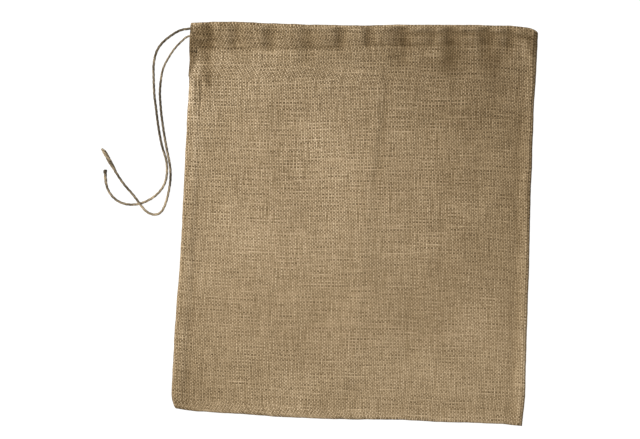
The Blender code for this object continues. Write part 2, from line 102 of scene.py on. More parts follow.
RAGGED_WAVES = 6        # this many waves
RAGGED_LENGTHS = (11, 60)       # of these lengths, shortest and longest
SLIT_END = 0.905        # share of the body's height at which the left seam stops
SLIT_EDGE = (           # how far the front's edge draws back from the slit, up the sack
    Across(150, 0.4), Across(156, 0.7), Across(161, 3.0), Across(166, 5.6), Across(171, 7.1),
    Across(179, 8.2), Across(187, 7.4), Across(195, 4.8), Across(203, 1.6), Across(209, 0.4),
    Across(216, 1.4),
)
BACK_EDGE = (           # and how far the rear layer's edge does
    Across(145, 0.4), Across(150, 0.5), Across(154, -1.0), Across(160, -0.9), Across(166, -0.6),
    Across(173, -0.5), Across(180, -1.1), Across(188, -1.3), Across(198, -0.7), Across(208, 0.0),
    Across(216, 1.4),
)

CASING_CREST = (        # height of the front's face over the casing's crests
    Along(-200, 10.3), Along(-184, 11.2), Along(-150, 12.2), Along(20, 12.6), Along(199, 12.5),
)
MOUTH_RAMP = 85.0       # how far below the casing the front starts to rise to it
FOLD_LIFT = 2.0         # how far the right fold holds the front's cloth up
FOLD_SLOPE = (4, 17)    # and the distances from it between which that is lost
SEAM_LIFT = 1.4         # how far the side seam's allowances hold it up
BOTTOM_LIFT = 0.9       # and the bottom seam's
SEAM_STEP = (-4, 5)     # where that is lost, from the allowance's inner edge

# Ruffles are the troughs between those crests.  Depth is a share of GATHER, tail how far one runs
# on below the stitching, and lean how much longer its left flank is than its right.
Ruffle = namedtuple("Ruffle", "x half_width depth tail lean")
RUFFLES = (
    Ruffle(-181, 18, 1.00, 30, 0.2), Ruffle(-146, 12, 0.60, 8, 0.0), Ruffle(-107, 13, 0.66, 6, 0.0),
    Ruffle(-64, 16, 0.55, 24, 0.0), Ruffle(-27, 12, 0.70, 8, 0.0), Ruffle(5, 10, 0.60, 6, 0.0),
    Ruffle(44, 16, 1.00, 30, 0.3), Ruffle(76, 9, 0.35, 4, 0.0), Ruffle(98, 15, 0.72, 42, 0.0),
    Ruffle(138, 14, 0.75, 42, 0.0), Ruffle(165, 11, 0.55, 8, 0.0),
)
GATHER = 3.6            # depth of the deepest trough
STITCHED = 0.55         # share of a trough's depth that is left at the stitching
STITCHED_END = 0.2      # share of the casing above which it has its whole depth
TOP_FADE = 0.78         # share of that depth that is gone at the top
TOP_FADE_START = 0.75   # and the share of the casing from which it goes
STITCH_DIP = 0.38       # how far the stitching draws the casing's edge in
STITCH_REACH = 3.0      # and how far it reaches above and below
STITCH_HIDDEN = 0.65    # share of the stitching's effect that is lost at the right
STITCH_FADES = (50, 120)        # and the places between which it is lost

# A crease is a soft ridge (height above 0) or trough between two points, a swell a broad rise,
# and a pucker a short dent that a seam draws into the cloth beside it.
WAVE_HEIGHT = 0.22      # of the small random waves all over the body
WAVE_COUNT = 16
WAVE_LENGTHS = (22, 70)         # shortest and longest
WAVE_STARTS = 6.28      # each starts anywhere in one turn
CREASE_ENDS = 0.15      # share of a crease's length over which each end runs out
RELIEF_END = 0.3        # share of the casing over which the body's relief runs out
Crease = namedtuple("Crease", "x y to_x to_y half_width height")
CREASES = (
    Crease(21, 176, 4, -196, 64, 1.7),
    Crease(31, 184, 20, 30, 15, -0.95),
    Crease(22, 60, 9, -175, 15, -0.5),
    Crease(-196, 166, -176, 126, 9, -1.2),
    Crease(-188, 172, -168, 142, 7, -0.6),
    Crease(14, -186, -10, -210, 9, -0.6),
    Crease(-120, 120, -86, -30, 40, 0.5),
    Crease(118, 96, 128, -120, 44, 0.5),
    Crease(70, -40, 64, -170, 30, -0.4),
    Crease(-183.0, 164, -182.7, 114, 3.0, -1.5),
    Crease(-187.6, 150, -186.5, 118, 2.8, -1.2),
    Crease(-193, 40, -176, 28, 3.5, 0.7),
)
Swell = namedtuple("Swell", "x y reach_x reach_y height")
SWELLS = (
    Swell(-70, 30, 110, 150, 0.5), Swell(150, 150, 70, 70, 0.5), Swell(80, -110, 110, 90, 0.4),
    Swell(-120, -150, 80, 70, 0.4),
)
Pucker = namedtuple("Pucker", "x y half_width half_height depth")
PUCKERS = (
    Pucker(-184, 120, 8, 16, 0.7), Pucker(-184, -10, 8, 9, 0.5), Pucker(-186, -41, 8, 8, 0.6),
    Pucker(-187, -78, 9, 9, 0.6), Pucker(-188, -120, 8, 10, 0.6), Pucker(-188, -160, 9, 8, 0.5),
    Pucker(-190, -205, 8, 7, 0.5), Pucker(187, 178, 8, 12, 0.6), Pucker(187, 128, 7, 10, 0.5),
    Pucker(188, -12, 8, 13, 0.6), Pucker(189, -98, 8, 14, 0.6), Pucker(189, -160, 8, 10, 0.4),
)

# Where the jute is painted darker (tone below 0) or lighter than the rest: mostly painted shade and
# painted light where slopes, folds, gathers and rims turn from or to the lamp, partly its own
# uneven tone
Patch = namedtuple("Patch", "x y reach_x reach_y tone")
PAINTED_SHADE_AND_TONE_PATCHES = (
    # the broad ones
    Patch(-190, -215, 70, 70, -0.24), Patch(-165, -150, 45, 80, -0.08),
    Patch(-145, 125, 45, 30, 0.14), Patch(-125, -40, 45, 60, 0.10),
    Patch(-115, 150, 55, 32, 0.14), Patch(-80, -85, 55, 60, 0.08), Patch(-70, 20, 130, 110, 0.06),
    Patch(-60, -200, 45, 45, 0.24), Patch(-45, 95, 50, 60, 0.15), Patch(-32, 20, 42, 130, 0.09),
    Patch(-25, 189, 75, 24, -0.34), Patch(40, 155, 50, 30, -0.14), Patch(75, 185, 110, 40, -0.32),
    Patch(110, 18, 90, 22, 0.10), Patch(130, 216, 80, 36, -0.16), Patch(140, -95, 42, 70, 0.15),
    Patch(150, 218, 60, 40, 0.14), Patch(150, -140, 60, 70, 0.04),
    Patch(215, 150, 230, 330, -0.34),
    # the casing, its gathers and the cloth just below them
    Patch(-197, 192, 6, 14, -0.16), Patch(-190, 212, 8, 8, 0.14), Patch(-187, 191, 8, 8, 0.10),
    Patch(-184, 193, 24, 28, -0.36), Patch(-181, 209, 13, 15, -0.18),
    Patch(-178, 193, 9, 9, 0.13), Patch(-173, 199, 8, 24, -0.15), Patch(-165, 199, 12, 10, -0.10),
    Patch(-161, 213, 9, 9, -0.14), Patch(-137, 177, 18, 18, -0.24),
    Patch(-137, 201, 7, 20, -0.15), Patch(-121, 211, 8, 12, 0.13), Patch(-92, 211, 8, 12, 0.10),
    Patch(-87, 203, 11, 20, 0.10), Patch(-72, 177, 14, 12, -0.14), Patch(-60, 178, 14, 14, -0.17),
    Patch(-48, 168, 34, 14, -0.12), Patch(-27, 198, 50, 7, 0.13), Patch(-7, 184, 11, 12, 0.20),
    Patch(-5, 205, 12, 20, 0.12), Patch(32, 188, 10, 16, -0.14), Patch(45, 184, 18, 16, -0.18),
    Patch(53, 208, 9, 24, -0.17), Patch(60, 197, 50, 8, -0.12), Patch(78, 195, 12, 17, 0.16),
    Patch(98, 182, 17, 36, -0.14), Patch(110, 210, 7, 22, -0.08), Patch(110, 192, 8, 14, -0.12),
    Patch(148, 180, 18, 38, -0.19), Patch(148, 212, 12, 8, -0.14), Patch(150, 208, 11, 28, -0.13),
    Patch(156, 190, 16, 20, -0.10), Patch(165, 196, 10, 10, -0.14), Patch(181, 200, 10, 12, 0.16),
    Patch(183, 205, 7, 22, 0.13), Patch(188, 216, 26, 30, -0.10),
    # the left side, with the slit
    Patch(-194, 133, 7, 34, 0.36), Patch(-188, 160, 8, 11, 0.20), Patch(-188, -10, 24, 60, -0.08),
    Patch(-186, 112, 18, 60, 0.20), Patch(-184, 72, 16, 40, 0.14),
    Patch(-177, 163, 10, 40, -0.38), Patch(-175, 150, 10, 16, -0.14),
    Patch(-169, 112, 14, 26, 0.13),
    # the middle of the body
    Patch(-160, 10, 20, 22, -0.09), Patch(-155, 75, 28, 60, -0.10),
    Patch(-115, 124, 12, 10, 0.17), Patch(-68, 50, 18, 24, 0.12), Patch(-40, 84, 14, 22, -0.11),
    Patch(-9, -201, 14, 12, 0.13), Patch(5, -108, 14, 14, -0.08), Patch(8, 40, 11, 150, -0.09),
    Patch(16, 48, 12, 22, -0.12), Patch(26, 80, 20, 90, -0.10), Patch(42, 66, 34, 34, -0.10),
    Patch(103, 152, 12, 12, -0.15), Patch(172, 136, 22, 22, 0.14),
    # the right side and the rims
    Patch(37, 221, 12, 8, 0.16), Patch(90, 228, 130, 7, 0.22), Patch(100, -228, 110, 8, 0.14),
    Patch(113, 224, 20, 8, -0.12), Patch(186, 40, 10, 32, 0.12), Patch(188, -98, 10, 14, 0.13),
    Patch(192, 152, 16, 60, 0.16), Patch(201, -130, 7, 110, 0.34),
)
Crisp = namedtuple("Crisp", "place share")
CRISP_ACROSS = (        # how strongly the yarns stand out, across the sack and up it
    Crisp(-200, 1.18), Crisp(-140, 1.07), Crisp(-60, 1.02), Crisp(20, 1.00), Crisp(100, 0.97),
    Crisp(200, 0.93),
)
CRISP_UP = (
    Crisp(-230, 0.96), Crisp(-165, 0.90), Crisp(-110, 0.84), Crisp(-50, 0.92), Crisp(0, 1.02),
    Crisp(60, 1.08), Crisp(120, 1.18), Crisp(200, 1.24),
)
CRISP_LIGHT = 0.15      # crisp weave has darker holes, and its yarns are that much lighter
CASING_TONE = -0.23     # four layers of cloth let less light through than two
TOP_TONE = 0.10         # their upper rim catches more again
TOP_RIM = (0.74, 0.92)  # shares of the casing over which that rim starts
SLIT_PAINTED_SHADE = Patch(-195, 176, 18, 46, -0.36)   # painted shade on the rear layer's inside, where the slit shows it
HOLLOW_PAINTED_SHADE = -0.16     # painted shade for each millimetre that the cloth dips below its surroundings, painted light where it rises above them
HOLLOW_REACH = 6        # mesh columns and rows of those surroundings

# The cord in the casing, as shares of the casing's height from the stitch line to the top fold
FRONT_CORD_LINE = 0.81
FOLD_CORD_LINE = 0.66
CORD_DROP = (140, 184)  # places across between which it drops from the first to the second
BACK_CORD_LINE = 0.46
BACK_EXIT_LINE = 0.55   # where the cord comes out at the back's open side
SIDE_CORD_LINE = 0.57   # middle of its way round the right fold
CORD_SPACE = 3.3        # how far apart the cord holds the channel's two cloths
CORD_FLAT = 1.4         # how much of that space is flat, above 1
CHANNEL_AIR = 0.5       # how far apart they are elsewhere
CHANNEL_START = 0.25    # share of the casing over which the channel opens
CHANNEL_REACH = 0.25    # how far up and down the cord holds them apart
FRONT_TURN_REACH = 0.65         # and how far near the right fold, where it drops
BACK_TURN_REACH = 0.75
SIDE_REACH = 0.6
FRONT_TURN = (130, 170)         # places across between which the one becomes the other
BACK_TURN = (145, 185)
CASING_HELD = (0.1, 0.4)        # shares over which the cord takes up the casing's thickness
CORD_RIDGE = 0.7        # how far the front's cord raises the cloth
RIDGE_REACH = 0.17      # and how far up and down
CORD_CREASE = 1.7       # how deep the cloth is pressed in below that ridge
CREASE_LINE = 0.60      # and where, as a share of the casing
CREASE_BELOW = 0.34     # how far down and up from there
CREASE_ABOVE = 0.15
CREASE_START = (10, 70)         # places across over which it sets in

# The cord's ends, from just inside the casing to their cut tips: across, up, height of middle
END_FRONT = (
    (-193.0, 208.9, 0), (-199.5, 208.7, 0), (-205, 206.9, 6.6), (-212.5, 204.3, 4.0),
    (-221, 198.5, 2.0), (-229.5, 190.9, 1.25), (-235.1, 182.3, 1.25), (-237.6, 173.0, 1.25),
    (-238.4, 163.5, 1.25), (-237.7, 151.5, 1.25), (-236.9, 140, 1.25), (-235.7, 128.5, 1.25),
    (-233.5, 116.5, 1.25), (-231.2, 102.5, 1.25), (-228.2, 87.5, 1.25), (-224.4, 72.5, 1.25),
    (-222.0, 65.5, 1.25), (-219.4, 58.8, 1.25), (-218.1, 52.0, 1.25), (-217.6, 45.0, 1.25),
    (-217.8, 37.5, 1.25), (-220.1, 28.8, 1.25), (-225.8, 19.8, 1.25), (-234.6, 12.1, 1.25),
    (-244.8, 6.8, 1.25), (-254.0, 4.6, 1.25), (-263.2, 4.9, 1.25), (-271.8, 7.7, 1.25),
    (-279.4, 13.7, 1.25), (-284.9, 22.2, 1.25), (-287.2, 31.4, 1.25), (-288.1, 43.0, 1.25),
)
END_BACK = (
    (-193.0, 199.9, 0), (-200.0, 199.4, 0), (-206.4, 194.5, 2.1), (-213, 187.8, 1.5),
    (-218.6, 179.6, 1.25), (-223.3, 171.1, 1.25), (-227.1, 162.5, 1.25), (-228.9, 152.8, 1.25),
    (-229.6, 143.8, 1.25), (-229.9, 134.5, 1.25), (-228.8, 123, 1.25), (-227.2, 110.5, 1.25),
    (-224.8, 97, 1.25), (-222.0, 83, 1.25), (-219.0, 70, 1.25), (-217.2, 62.5, 1.25),
    (-215.5, 56.0, 1.25), (-213.7, 46, 1.25), (-213.2, 35.5, 1.25), (-214.3, 23.8, 1.25),
    (-216.4, 12, 1.25), (-219.3, 2.6, 1.25), (-223.1, -3.8, 1.3), (-229.3, -5.9, 1.7),
    (-235.6, -4.6, 2.6), (-241.4, -0.4, 3.7), (-247.5, 7.0, 4.1), (-254.1, 15.1, 3.5),
    (-259.5, 20.6, 2.4), (-264.8, 26.0, 1.6), (-273.0, 36.6, 1.3), (-279.6, 46.9, 1.5),
    (-284.4, 54.5, 1.9), (-288.4, 61.2, 2.2), (-292.0, 66.0, 2.3),
)
# Where the ends are darker or lighter, by how far they have come
Shade = namedtuple("Shade", "along tone")
FRONT_SHADES = (
    Shade(0, -0.30), Shade(40, -0.30), Shade(60, -0.22), Shade(86, -0.05), Shade(100, -0.20),
    Shade(120, -0.40), Shade(150, -0.42), Shade(172, -0.25), Shade(190, 0.05), Shade(230, 0.25),
    Shade(246, 0.16), Shade(262, -0.12), Shade(280, -0.05), Shade(296, 0.02), Shade(310, -0.08),
    Shade(310.9, -0.12), Shade(311.8, -0.46), Shade(315, -0.50),
)
BACK_SHADES = (
    Shade(0, 0.02), Shade(22, 0.10), Shade(38, 0.02), Shade(54, -0.02), Shade(70, -0.14),
    Shade(86, -0.45), Shade(118, -0.40), Shade(134, -0.18), Shade(166, 0.02), Shade(182, -0.52),
    Shade(198, 0.18), Shade(230, 0.24), Shade(246, 0.14), Shade(262, -0.22), Shade(290, -0.16),
    Shade(304, -0.06), Shade(312, 0.16), Shade(323, 0.02), Shade(328, 0.95),
)
RUN_START = -192.4      # where the run inside the casing meets its ends, across
RUN_SPACE = 9.0         # between the points of that run
CASING_MIDDLE = 210.0   # height of the casing's middle at the right fold
TWIST = 18.0            # length of the cord in which its plies go once round


# ---------------------------------------------------------------- curves and rounding

def curve(table, at):
    """Read the second column of a table along a smooth curve through its rows."""
    place, value = np.array(table, dtype=float).T
    slope = np.gradient(value, place)
    at = np.clip(at, place[0], place[-1])
    row = np.clip(np.searchsorted(place, at) - 1, 0, len(place) - 2)
    span = place[row + 1] - place[row]
    part = (at - place[row]) / span
    rest = 1 - part
    return (value[row] * (1 + 2 * part) * rest ** 2 + slope[row] * span * part * rest ** 2
            + value[row + 1] * (3 - 2 * part) * part ** 2
            - slope[row + 1] * span * rest * part ** 2)


def ease(value, start, end):
    """0 before start, 1 after end, smooth between."""
    part = np.clip((value - start) / (end - start), 0, 1)
    return part * part * (3 - 2 * part)


def bump(distance, half_width):
    """1 in the middle, falling smoothly to 0 at half_width."""
    return 0.5 + 0.5 * np.cos(math.pi * np.clip(np.abs(distance) / half_width, 0, 1))


def peak(distance, half_width):
    """1 at a sharp crest, falling to 0 at half_width."""
    return np.clip(1 - np.abs(distance) / half_width, 0, 1) ** 2


def mix(first, second, share):
    return first + (second - first) * share


def random_waves(count, shortest, longest):
    """Lengths, directions and starts of small waves in the cloth."""
    draw = random.Random(3)
    return [(draw.uniform(shortest, longest), draw.uniform(0, math.pi),
             draw.uniform(0, WAVE_STARTS)) for _ in range(count)]


WAVES = random_waves(WAVE_COUNT, *WAVE_LENGTHS)


def unevenness(x, y):
    """Soft random waves, seldom above 1 or below -1."""
    total = 0
    for length, turn, start in WAVES:
        along = x * math.cos(turn) + y * math.sin(turn)
        total = total + np.cos(2 * math.pi * along / length + start)
    return total / math.sqrt(len(WAVES) * 2)


# ---------------------------------------------------------------- the shape of the sack

def ragged(place, seed):
    """Small uneven waves of an edge, in and out."""
    draw = random.Random(seed)
    total = 0
    for _ in range(RAGGED_WAVES):
        turns = place / draw.uniform(*RAGGED_LENGTHS) + draw.uniform(0, 1)
        total = total + RAGGED * np.cos(2 * math.pi * turns)
    return total


def left_side(y):
    below = np.clip((CORNER_TOP - y) / CORNER_HEIGHT, 0, 1)
    return curve(LEFT_SIDE, y) + ragged(y, 1) + CORNER_DEPTH * (1 - np.sqrt(1 - below ** 2))


def right_side(y):
    return curve(RIGHT_SIDE, y) + ragged(y, 2)


def top_edge(x):
    return curve(TOP_EDGE, x) + ragged(x, 3)


def bottom_edge(x):
    return curve(BOTTOM_EDGE, x) + ragged(x, 4)


def fold_radius(y):
    return mix(FOLD_RADIUS, CASING_FOLD_RADIUS, ease(y, *FOLD_WIDENS))


def segment_distance(x, y, crease):
    """Distance from a crease's line, and how far along it the nearest point lies, 0 to 1."""
    run_x = crease.to_x - crease.x
    run_y = crease.to_y - crease.y
    along = ((x - crease.x) * run_x + (y - crease.y) * run_y) / (run_x ** 2 + run_y ** 2)
    held = np.clip(along, 0, 1)
    return np.hypot(x - crease.x - held * run_x, y - crease.y - held * run_y), held


def body_relief(x, y):
    """Swells, creases, puckers and small waves on the front of the body."""
    total = np.zeros(np.broadcast(x, y).shape)
    for swell in SWELLS:
        total += swell.height * bump(x - swell.x, swell.reach_x) * bump(y - swell.y, swell.reach_y)
    for crease in CREASES:
        distance, along = segment_distance(x, y, crease)
        fade = ease(along, 0, CREASE_ENDS) * ease(1 - along, 0, CREASE_ENDS)
        total += crease.height * peak(distance, crease.half_width) * fade
    for pucker in PUCKERS:
        total -= (pucker.depth * bump(x - pucker.x, pucker.half_width)
                  * bump(y - pucker.y, pucker.half_height))
    return total + WAVE_HEIGHT * unevenness(x, y)


def casing_share(x, y):
    """Height within the casing: 0 on the stitch line, 1 on the top fold."""
    stitch = curve(STITCH_LINE, x)
    return (y - stitch) / (top_edge(x) - stitch)


def gathers(x, y):
    """Troughs between the casing's crests, from 0 on a crest to 1 at the deepest."""
    share = casing_share(x, y)
    below = curve(STITCH_LINE, x) - y
    trough = 0
    for ruffle in RUFFLES:
        away = (x - ruffle.x) / ruffle.half_width
        away = away * (1 + ruffle.lean * np.sign(away))
        trough = trough + ruffle.depth * bump(away, 1) * (1 - ease(below, 0, ruffle.tail))
    low = mix(STITCHED, 1, ease(share, 0, STITCHED_END))
    return np.minimum(trough, 1) * low * (1 - TOP_FADE * ease(share, TOP_FADE_START, 1))


def past_seam(distance, allowance):
    """0 over a seam allowance and 1 past it, with a soft step between."""
    step_in, step_out = SEAM_STEP
    return ease(distance, allowance + step_in, allowance + step_out)


def body_level(x, y):
    """Height of the front without its relief: the fold and the seams hold it up at the edges."""
    fold = FOLD_LIFT * (1 - ease(right_side(y) - x, *FOLD_SLOPE))
    seam = SEAM_LIFT * (1 - past_seam(x - left_side(y), SIDE_SEAM))
    bottom = BOTTOM_LIFT * (1 - past_seam(y - bottom_edge(x), BOTTOM_SEAM))
    return 2 * CLOTH + BODY_AIR + np.maximum(fold, np.maximum(seam, bottom))


def faded(x):
    """1 at the left, falling where the stitching no longer shows at the right."""
    return 1 - STITCH_HIDDEN * ease(x, *STITCH_FADES)


def cord_line(x):
    return mix(FRONT_CORD_LINE, FOLD_CORD_LINE, ease(x, *CORD_DROP))


def cord_relief(x, share):
    """The ridge over the cord in the front casing, and the crease pressed in below it."""
    off = share - CREASE_LINE
    pressed = bump(off, np.where(off < 0, CREASE_BELOW, CREASE_ABOVE)) * ease(x, *CREASE_START)
    return CORD_RIDGE * bump(share - cord_line(x), RIDGE_REACH) - CORD_CREASE * pressed


def front_face(x, y):
    """Height of the front's outer face."""
    share = casing_share(x, y)
    stitch = curve(STITCH_LINE, x)
    level = mix(body_level(x, y), curve(CASING_CREST, x), ease(y, stitch - MOUTH_RAMP, stitch))
    relief = body_relief(x, y) * (1 - ease(share, 0, RELIEF_END))
    trough = gathers(x, y)
    raised = cord_relief(x, share) * (1 - trough)
    stitched = STITCH_DIP * bump(y - stitch, STITCH_REACH) * faded(x)
    return np.maximum(level + relief + raised - stitched - GATHER * trough, LEAST_FRONT)


def cord_channel(distance, reach):
    """Space that the cord holds open, at a distance from it up or down the casing."""
    return CORD_SPACE * np.minimum(CORD_FLAT * bump(distance, reach), 1)


def channel(share, line, reach):
    """Space between a casing's outer cloth and its hem, with the cord on a line along it."""
    opened = ease(share, 0, CHANNEL_START)
    return np.maximum(CHANNEL_AIR, cord_channel(share - line, reach)) * opened


def front_channel(x, share):
    reach = mix(CHANNEL_REACH, FRONT_TURN_REACH, ease(x, *FRONT_TURN))
    return channel(share, cord_line(x), reach)


def back_channel(x, share):
    reach = mix(CHANNEL_REACH, BACK_TURN_REACH, ease(x, *BACK_TURN))
    return channel(share, BACK_CORD_LINE, reach)


def side_channel(share):
    """Space for the cord inside the right fold."""
    return np.sqrt(cord_channel(share - SIDE_CORD_LINE, SIDE_REACH) * CORD_SPACE)


# ---------------------------------------------------------------- the sheet

FLAT_COLUMNS = 190      # mesh columns across the front's flat
CROWDED_LEFT = 1.25     # above 1, they lie closer together at its left
BACK_COLUMNS = 90
BODY_ROWS = 108
CROWDED_TOP = 0.9       # below 1, they lie closer together at its top
LAST_BODY_ROW = 1.005   # one more, close under the stitch line
CASING_ROWS = 26
TOP_TURN = 0.915        # share of the casing at which its cloth starts to turn over
RIM_ANGLES = (0, 18, 36, 54, 72)        # degrees round a sewn edge,
FOLD_ANGLES = tuple(range(75, -90, -15))        # round the right fold
NOSE_ANGLES = (70, 45, 20, 0, -20, -45, -70)    # and over the top
HEM_ROWS = (1.0, 0.7, 0.4, 0.2, 0.0)    # shares of the casing, down its inside
SAME_POINT = 0.02       # points nearer than this are one

Column = namedtuple("Column", "kind angle share face")
Columns = namedtuple("Columns", "kinds angles shares faces")
Row = namedtuple("Row", "kind value")


def column_list():
    """Columns from the front's left edge, round the right fold, to the back's left edge."""
    front_rim = [Column("rim", angle, 0.0, 1) for angle in RIM_ANGLES]
    shares = np.linspace(0, 1, FLAT_COLUMNS) ** CROWDED_LEFT
    front = [Column("flat", 90, share, 1) for share in shares]
    fold = [Column("fold", angle, 1.0, 1 if angle > 0 else -1) for angle in FOLD_ANGLES]
    back = [Column("flat", -90, share, -1) for share in np.linspace(1, 0, BACK_COLUMNS)]
    back_rim = [Column("rim", -angle, 0.0, -1) for angle in reversed(RIM_ANGLES)]
    return front_rim + front + fold + back + back_rim


def column_arrays(columns):
    """The columns' kinds, angles (here in radians), shares and faces, each as one array."""
    kinds, angles, shares, faces = (np.array(values) for values in zip(*columns))
    return Columns(kinds, np.radians(angles), shares, faces)


def row_list():
    """Rows from the bottom edge up the outside, over the top fold and down inside the hem."""
    body = np.append(np.linspace(0, 1, BODY_ROWS) ** CROWDED_TOP, LAST_BODY_ROW)
    casing = np.linspace(0, TOP_TURN, CASING_ROWS)
    return ([Row("rim", angle) for angle in RIM_ANGLES]
            + [Row("body", share) for share in body]
            + [Row("casing", share) for share in casing]
            + [Row("nose", angle) for angle in NOSE_ANGLES]
            + [Row("hem", TOP_TURN * share) for share in HEM_ROWS]
            + [Row("edge", 0.0)])


def casing_heights(x, y, share, face):
    """Height of the middle of the doubled casing, and half its thickness, on one face."""
    front = front_channel(x, share)
    back = back_channel(x, share)
    if face > 0:
        held = mix(back + front, CORD_SPACE + CHANNEL_AIR, ease(share, *CASING_HELD))
        top = np.maximum(front_face(x, y), 4 * CLOTH + LEAST_AIR + held)
        return top - CLOTH - front / 2, CLOTH + front / 2
    return CLOTH + back / 2, CLOTH + back / 2


def place_up(x, row):
    """How far up the sack a row lies at a place across it, and its share of the casing."""
    bottom = bottom_edge(x)
    stitch = curve(STITCH_LINE, x)
    top = top_edge(x)
    if row.kind == "rim":
        return bottom + SEAM_RIM * (1 - math.cos(math.radians(row.value))), -1.0
    if row.kind == "body":
        return mix(bottom + SEAM_RIM, stitch - HEM_TURN, row.value), -1.0
    if row.kind == "edge":
        return stitch - HEM_TURN, 0.0
    if row.kind == "nose":
        turn = mix(TOP_TURN, 1.0, math.cos(math.radians(row.value)))
        return mix(stitch, top, turn), TOP_TURN
    return mix(stitch, top, row.value), row.value


def outer_height(x, y, share, row, face):
    """Height of the cloth's outside on the front (face 1) or the back (face -1)."""
    if share < 0:
        return front_face(x, y) if face > 0 else np.zeros_like(x)
    middle, half = casing_heights(x, y, share, face)
    turn = {"nose": math.sin(math.radians(row.value)), "hem": -1.0, "edge": -1.0}
    return middle + face * half * turn.get(row.kind, 1.0)


def is_sewn(row):
    """Whether the left seam closes the sack at a row."""
    return row.kind == "rim" or (row.kind == "body" and row.value <= SLIT_END)


def fold_inset(row, share):
    """How far inside the right fold's outer face the cloth of a row goes round."""
    if row.kind in ("hem", "edge"):
        return 2 * CLOTH + side_channel(share)
    if row.kind == "nose":
        return (CLOTH + side_channel(share) / 2) * (1 - math.sin(math.radians(row.value)))
    return 0.0


def places_across(columns, row, y, share):
    """How far across the sack the points of a row lie."""
    left, right, radius = left_side(y), right_side(y), fold_radius(y)
    if not is_sewn(row):
        left = left + np.where(columns.faces < 0, curve(BACK_EDGE, y), curve(SLIT_EDGE, y))
    inset = fold_inset(row, share)
    turned = 1 - np.cos(columns.angles)
    rim = left + SEAM_RIM * turned
    flat = mix(left + SEAM_RIM, right - radius, columns.shares)
    fold = right - inset - (radius - inset) * turned
    return np.where(columns.kinds == "rim", rim, np.where(columns.kinds == "fold", fold, flat))


def row_points(columns, row):
    """The points of one row: their places across and up the sack, and their heights."""
    x = mix(left_side(0), right_side(0), columns.shares)
    for _ in range(2):
        y, share = place_up(x, row)
        x = places_across(columns, row, y, share)
    y, share = place_up(x, row)
    front = outer_height(x, y, share, row, 1)
    back = outer_height(x, y, share, row, -1)
    turn = np.sin(columns.angles)
    if not is_sewn(row):
        turn = np.where(columns.kinds == "rim", columns.faces, turn)
    if row.kind == "rim":
        turn = turn * math.sin(math.radians(row.value))
    z = (front + back) / 2 + (front - back) / 2 * turn
    return np.stack([x, y, z], axis=1)


def cloth_across(column):
    """How far across the cut cloth a column lies."""
    half = CUT_WIDTH / 2 - SIDE_SEAM
    if column.kind == "fold":
        return SIDE_SEAM + half - column.angle / 90 * FOLD_RADIUS
    flat = mix(FOLD_RADIUS, half - FOLD_RADIUS, column.share)
    if column.kind == "rim":
        flat = abs(column.angle) / 90 * FOLD_RADIUS
    return SIDE_SEAM + (flat if column.face > 0 else 2 * half - flat)


def cloth_up(row):
    """How far up the cut cloth a row lies."""
    stitch = BOTTOM_SEAM + STITCH_HEIGHT
    top = BOTTOM_SEAM + SEWN_HEIGHT
    if row.kind == "rim":
        return BOTTOM_SEAM
    if row.kind == "body":
        return mix(BOTTOM_SEAM, stitch, row.value)
    if row.kind == "casing":
        return mix(stitch + HEM_TURN, top - TURN_CLOTH, row.value / TOP_TURN)
    if row.kind == "nose":
        return top - row.value / 90 * TURN_CLOTH
    return mix(top + TURN_CLOTH, CUT_HEIGHT, 1 - row.value / TOP_TURN)


def spread(values, reach):
    """Values averaged over their neighbours in both directions."""
    kernel = np.ones(2 * reach + 1) / (2 * reach + 1)
    values = np.pad(values, reach, mode="edge")
    for axis in (0, 1):
        values = np.apply_along_axis(np.convolve, axis, values, kernel, "valid")
    return values


def patch_tone(x, y, patches):
    """What patches add to the jute's tone at each place."""
    return sum(patch.tone * bump(x - patch.x, patch.reach_x) * bump(y - patch.y, patch.reach_y)
               for patch in patches)


def crispness(x, y):
    """How strongly the yarns, with their painted shade and light, stand out at a place."""
    return curve(CRISP_ACROSS, x) * curve(CRISP_UP, y)


def painted_shade_and_tone(columns, rows, points):
    """How much lighter or darker the jute is painted at each point of the sheet: painted shade and
    light of its slopes, folds, casing, rim and slit, with its own uneven tone.
    """
    x, y, z = np.moveaxis(points, -1, 0)
    tone = patch_tone(x, y, PAINTED_SHADE_AND_TONE_PATCHES) + CRISP_LIGHT * (crispness(x, y) - 1)
    # painted light on the casing's upper rim, painted shade where its four layers let less light
    # through
    rim = TOP_TONE * ease(casing_share(x, y), *TOP_RIM)
    casing = np.array([row.kind in ("casing", "nose") for row in rows])
    tone += (CASING_TONE * faded(x) + rim) * casing
    behind = np.array([[column.face < 0] for column in columns])
    # painted shade on the rear layer's inside, at the slit
    tone += patch_tone(x, y, [SLIT_PAINTED_SHADE]) * behind
    front = slice(len(RIM_ANGLES), len(RIM_ANGLES) + FLAT_COLUMNS)
    outside = slice(len(RIM_ANGLES), len(RIM_ANGLES) + BODY_ROWS + 1 + CASING_ROWS)
    height = z[front, outside]
    # painted shade in the front's hollows and painted light on its crests
    tone[front, outside] += HOLLOW_PAINTED_SHADE * (spread(height, HOLLOW_REACH) - height)
    return tone


def give_places(data, name, places):
    """Keep each corner's place in the material, as a UV map."""
    layer = data.uv_layers.new(name=name)
    layer.data.foreach_set("uv", np.ravel(places))


def give_values(data, name, values):
    """Keep a value for each point, which its finish reads."""
    layer = data.attributes.new(name, "FLOAT", "POINT")
    layer.data.foreach_set("value", np.ravel(values))


def grid_faces(wide, high):
    """The four-cornered faces of a grid, with each corner as its column and row."""
    return [((i, j), (i + 1, j), (i + 1, j + 1), (i, j + 1))
            for i in range(wide - 1) for j in range(high - 1)]


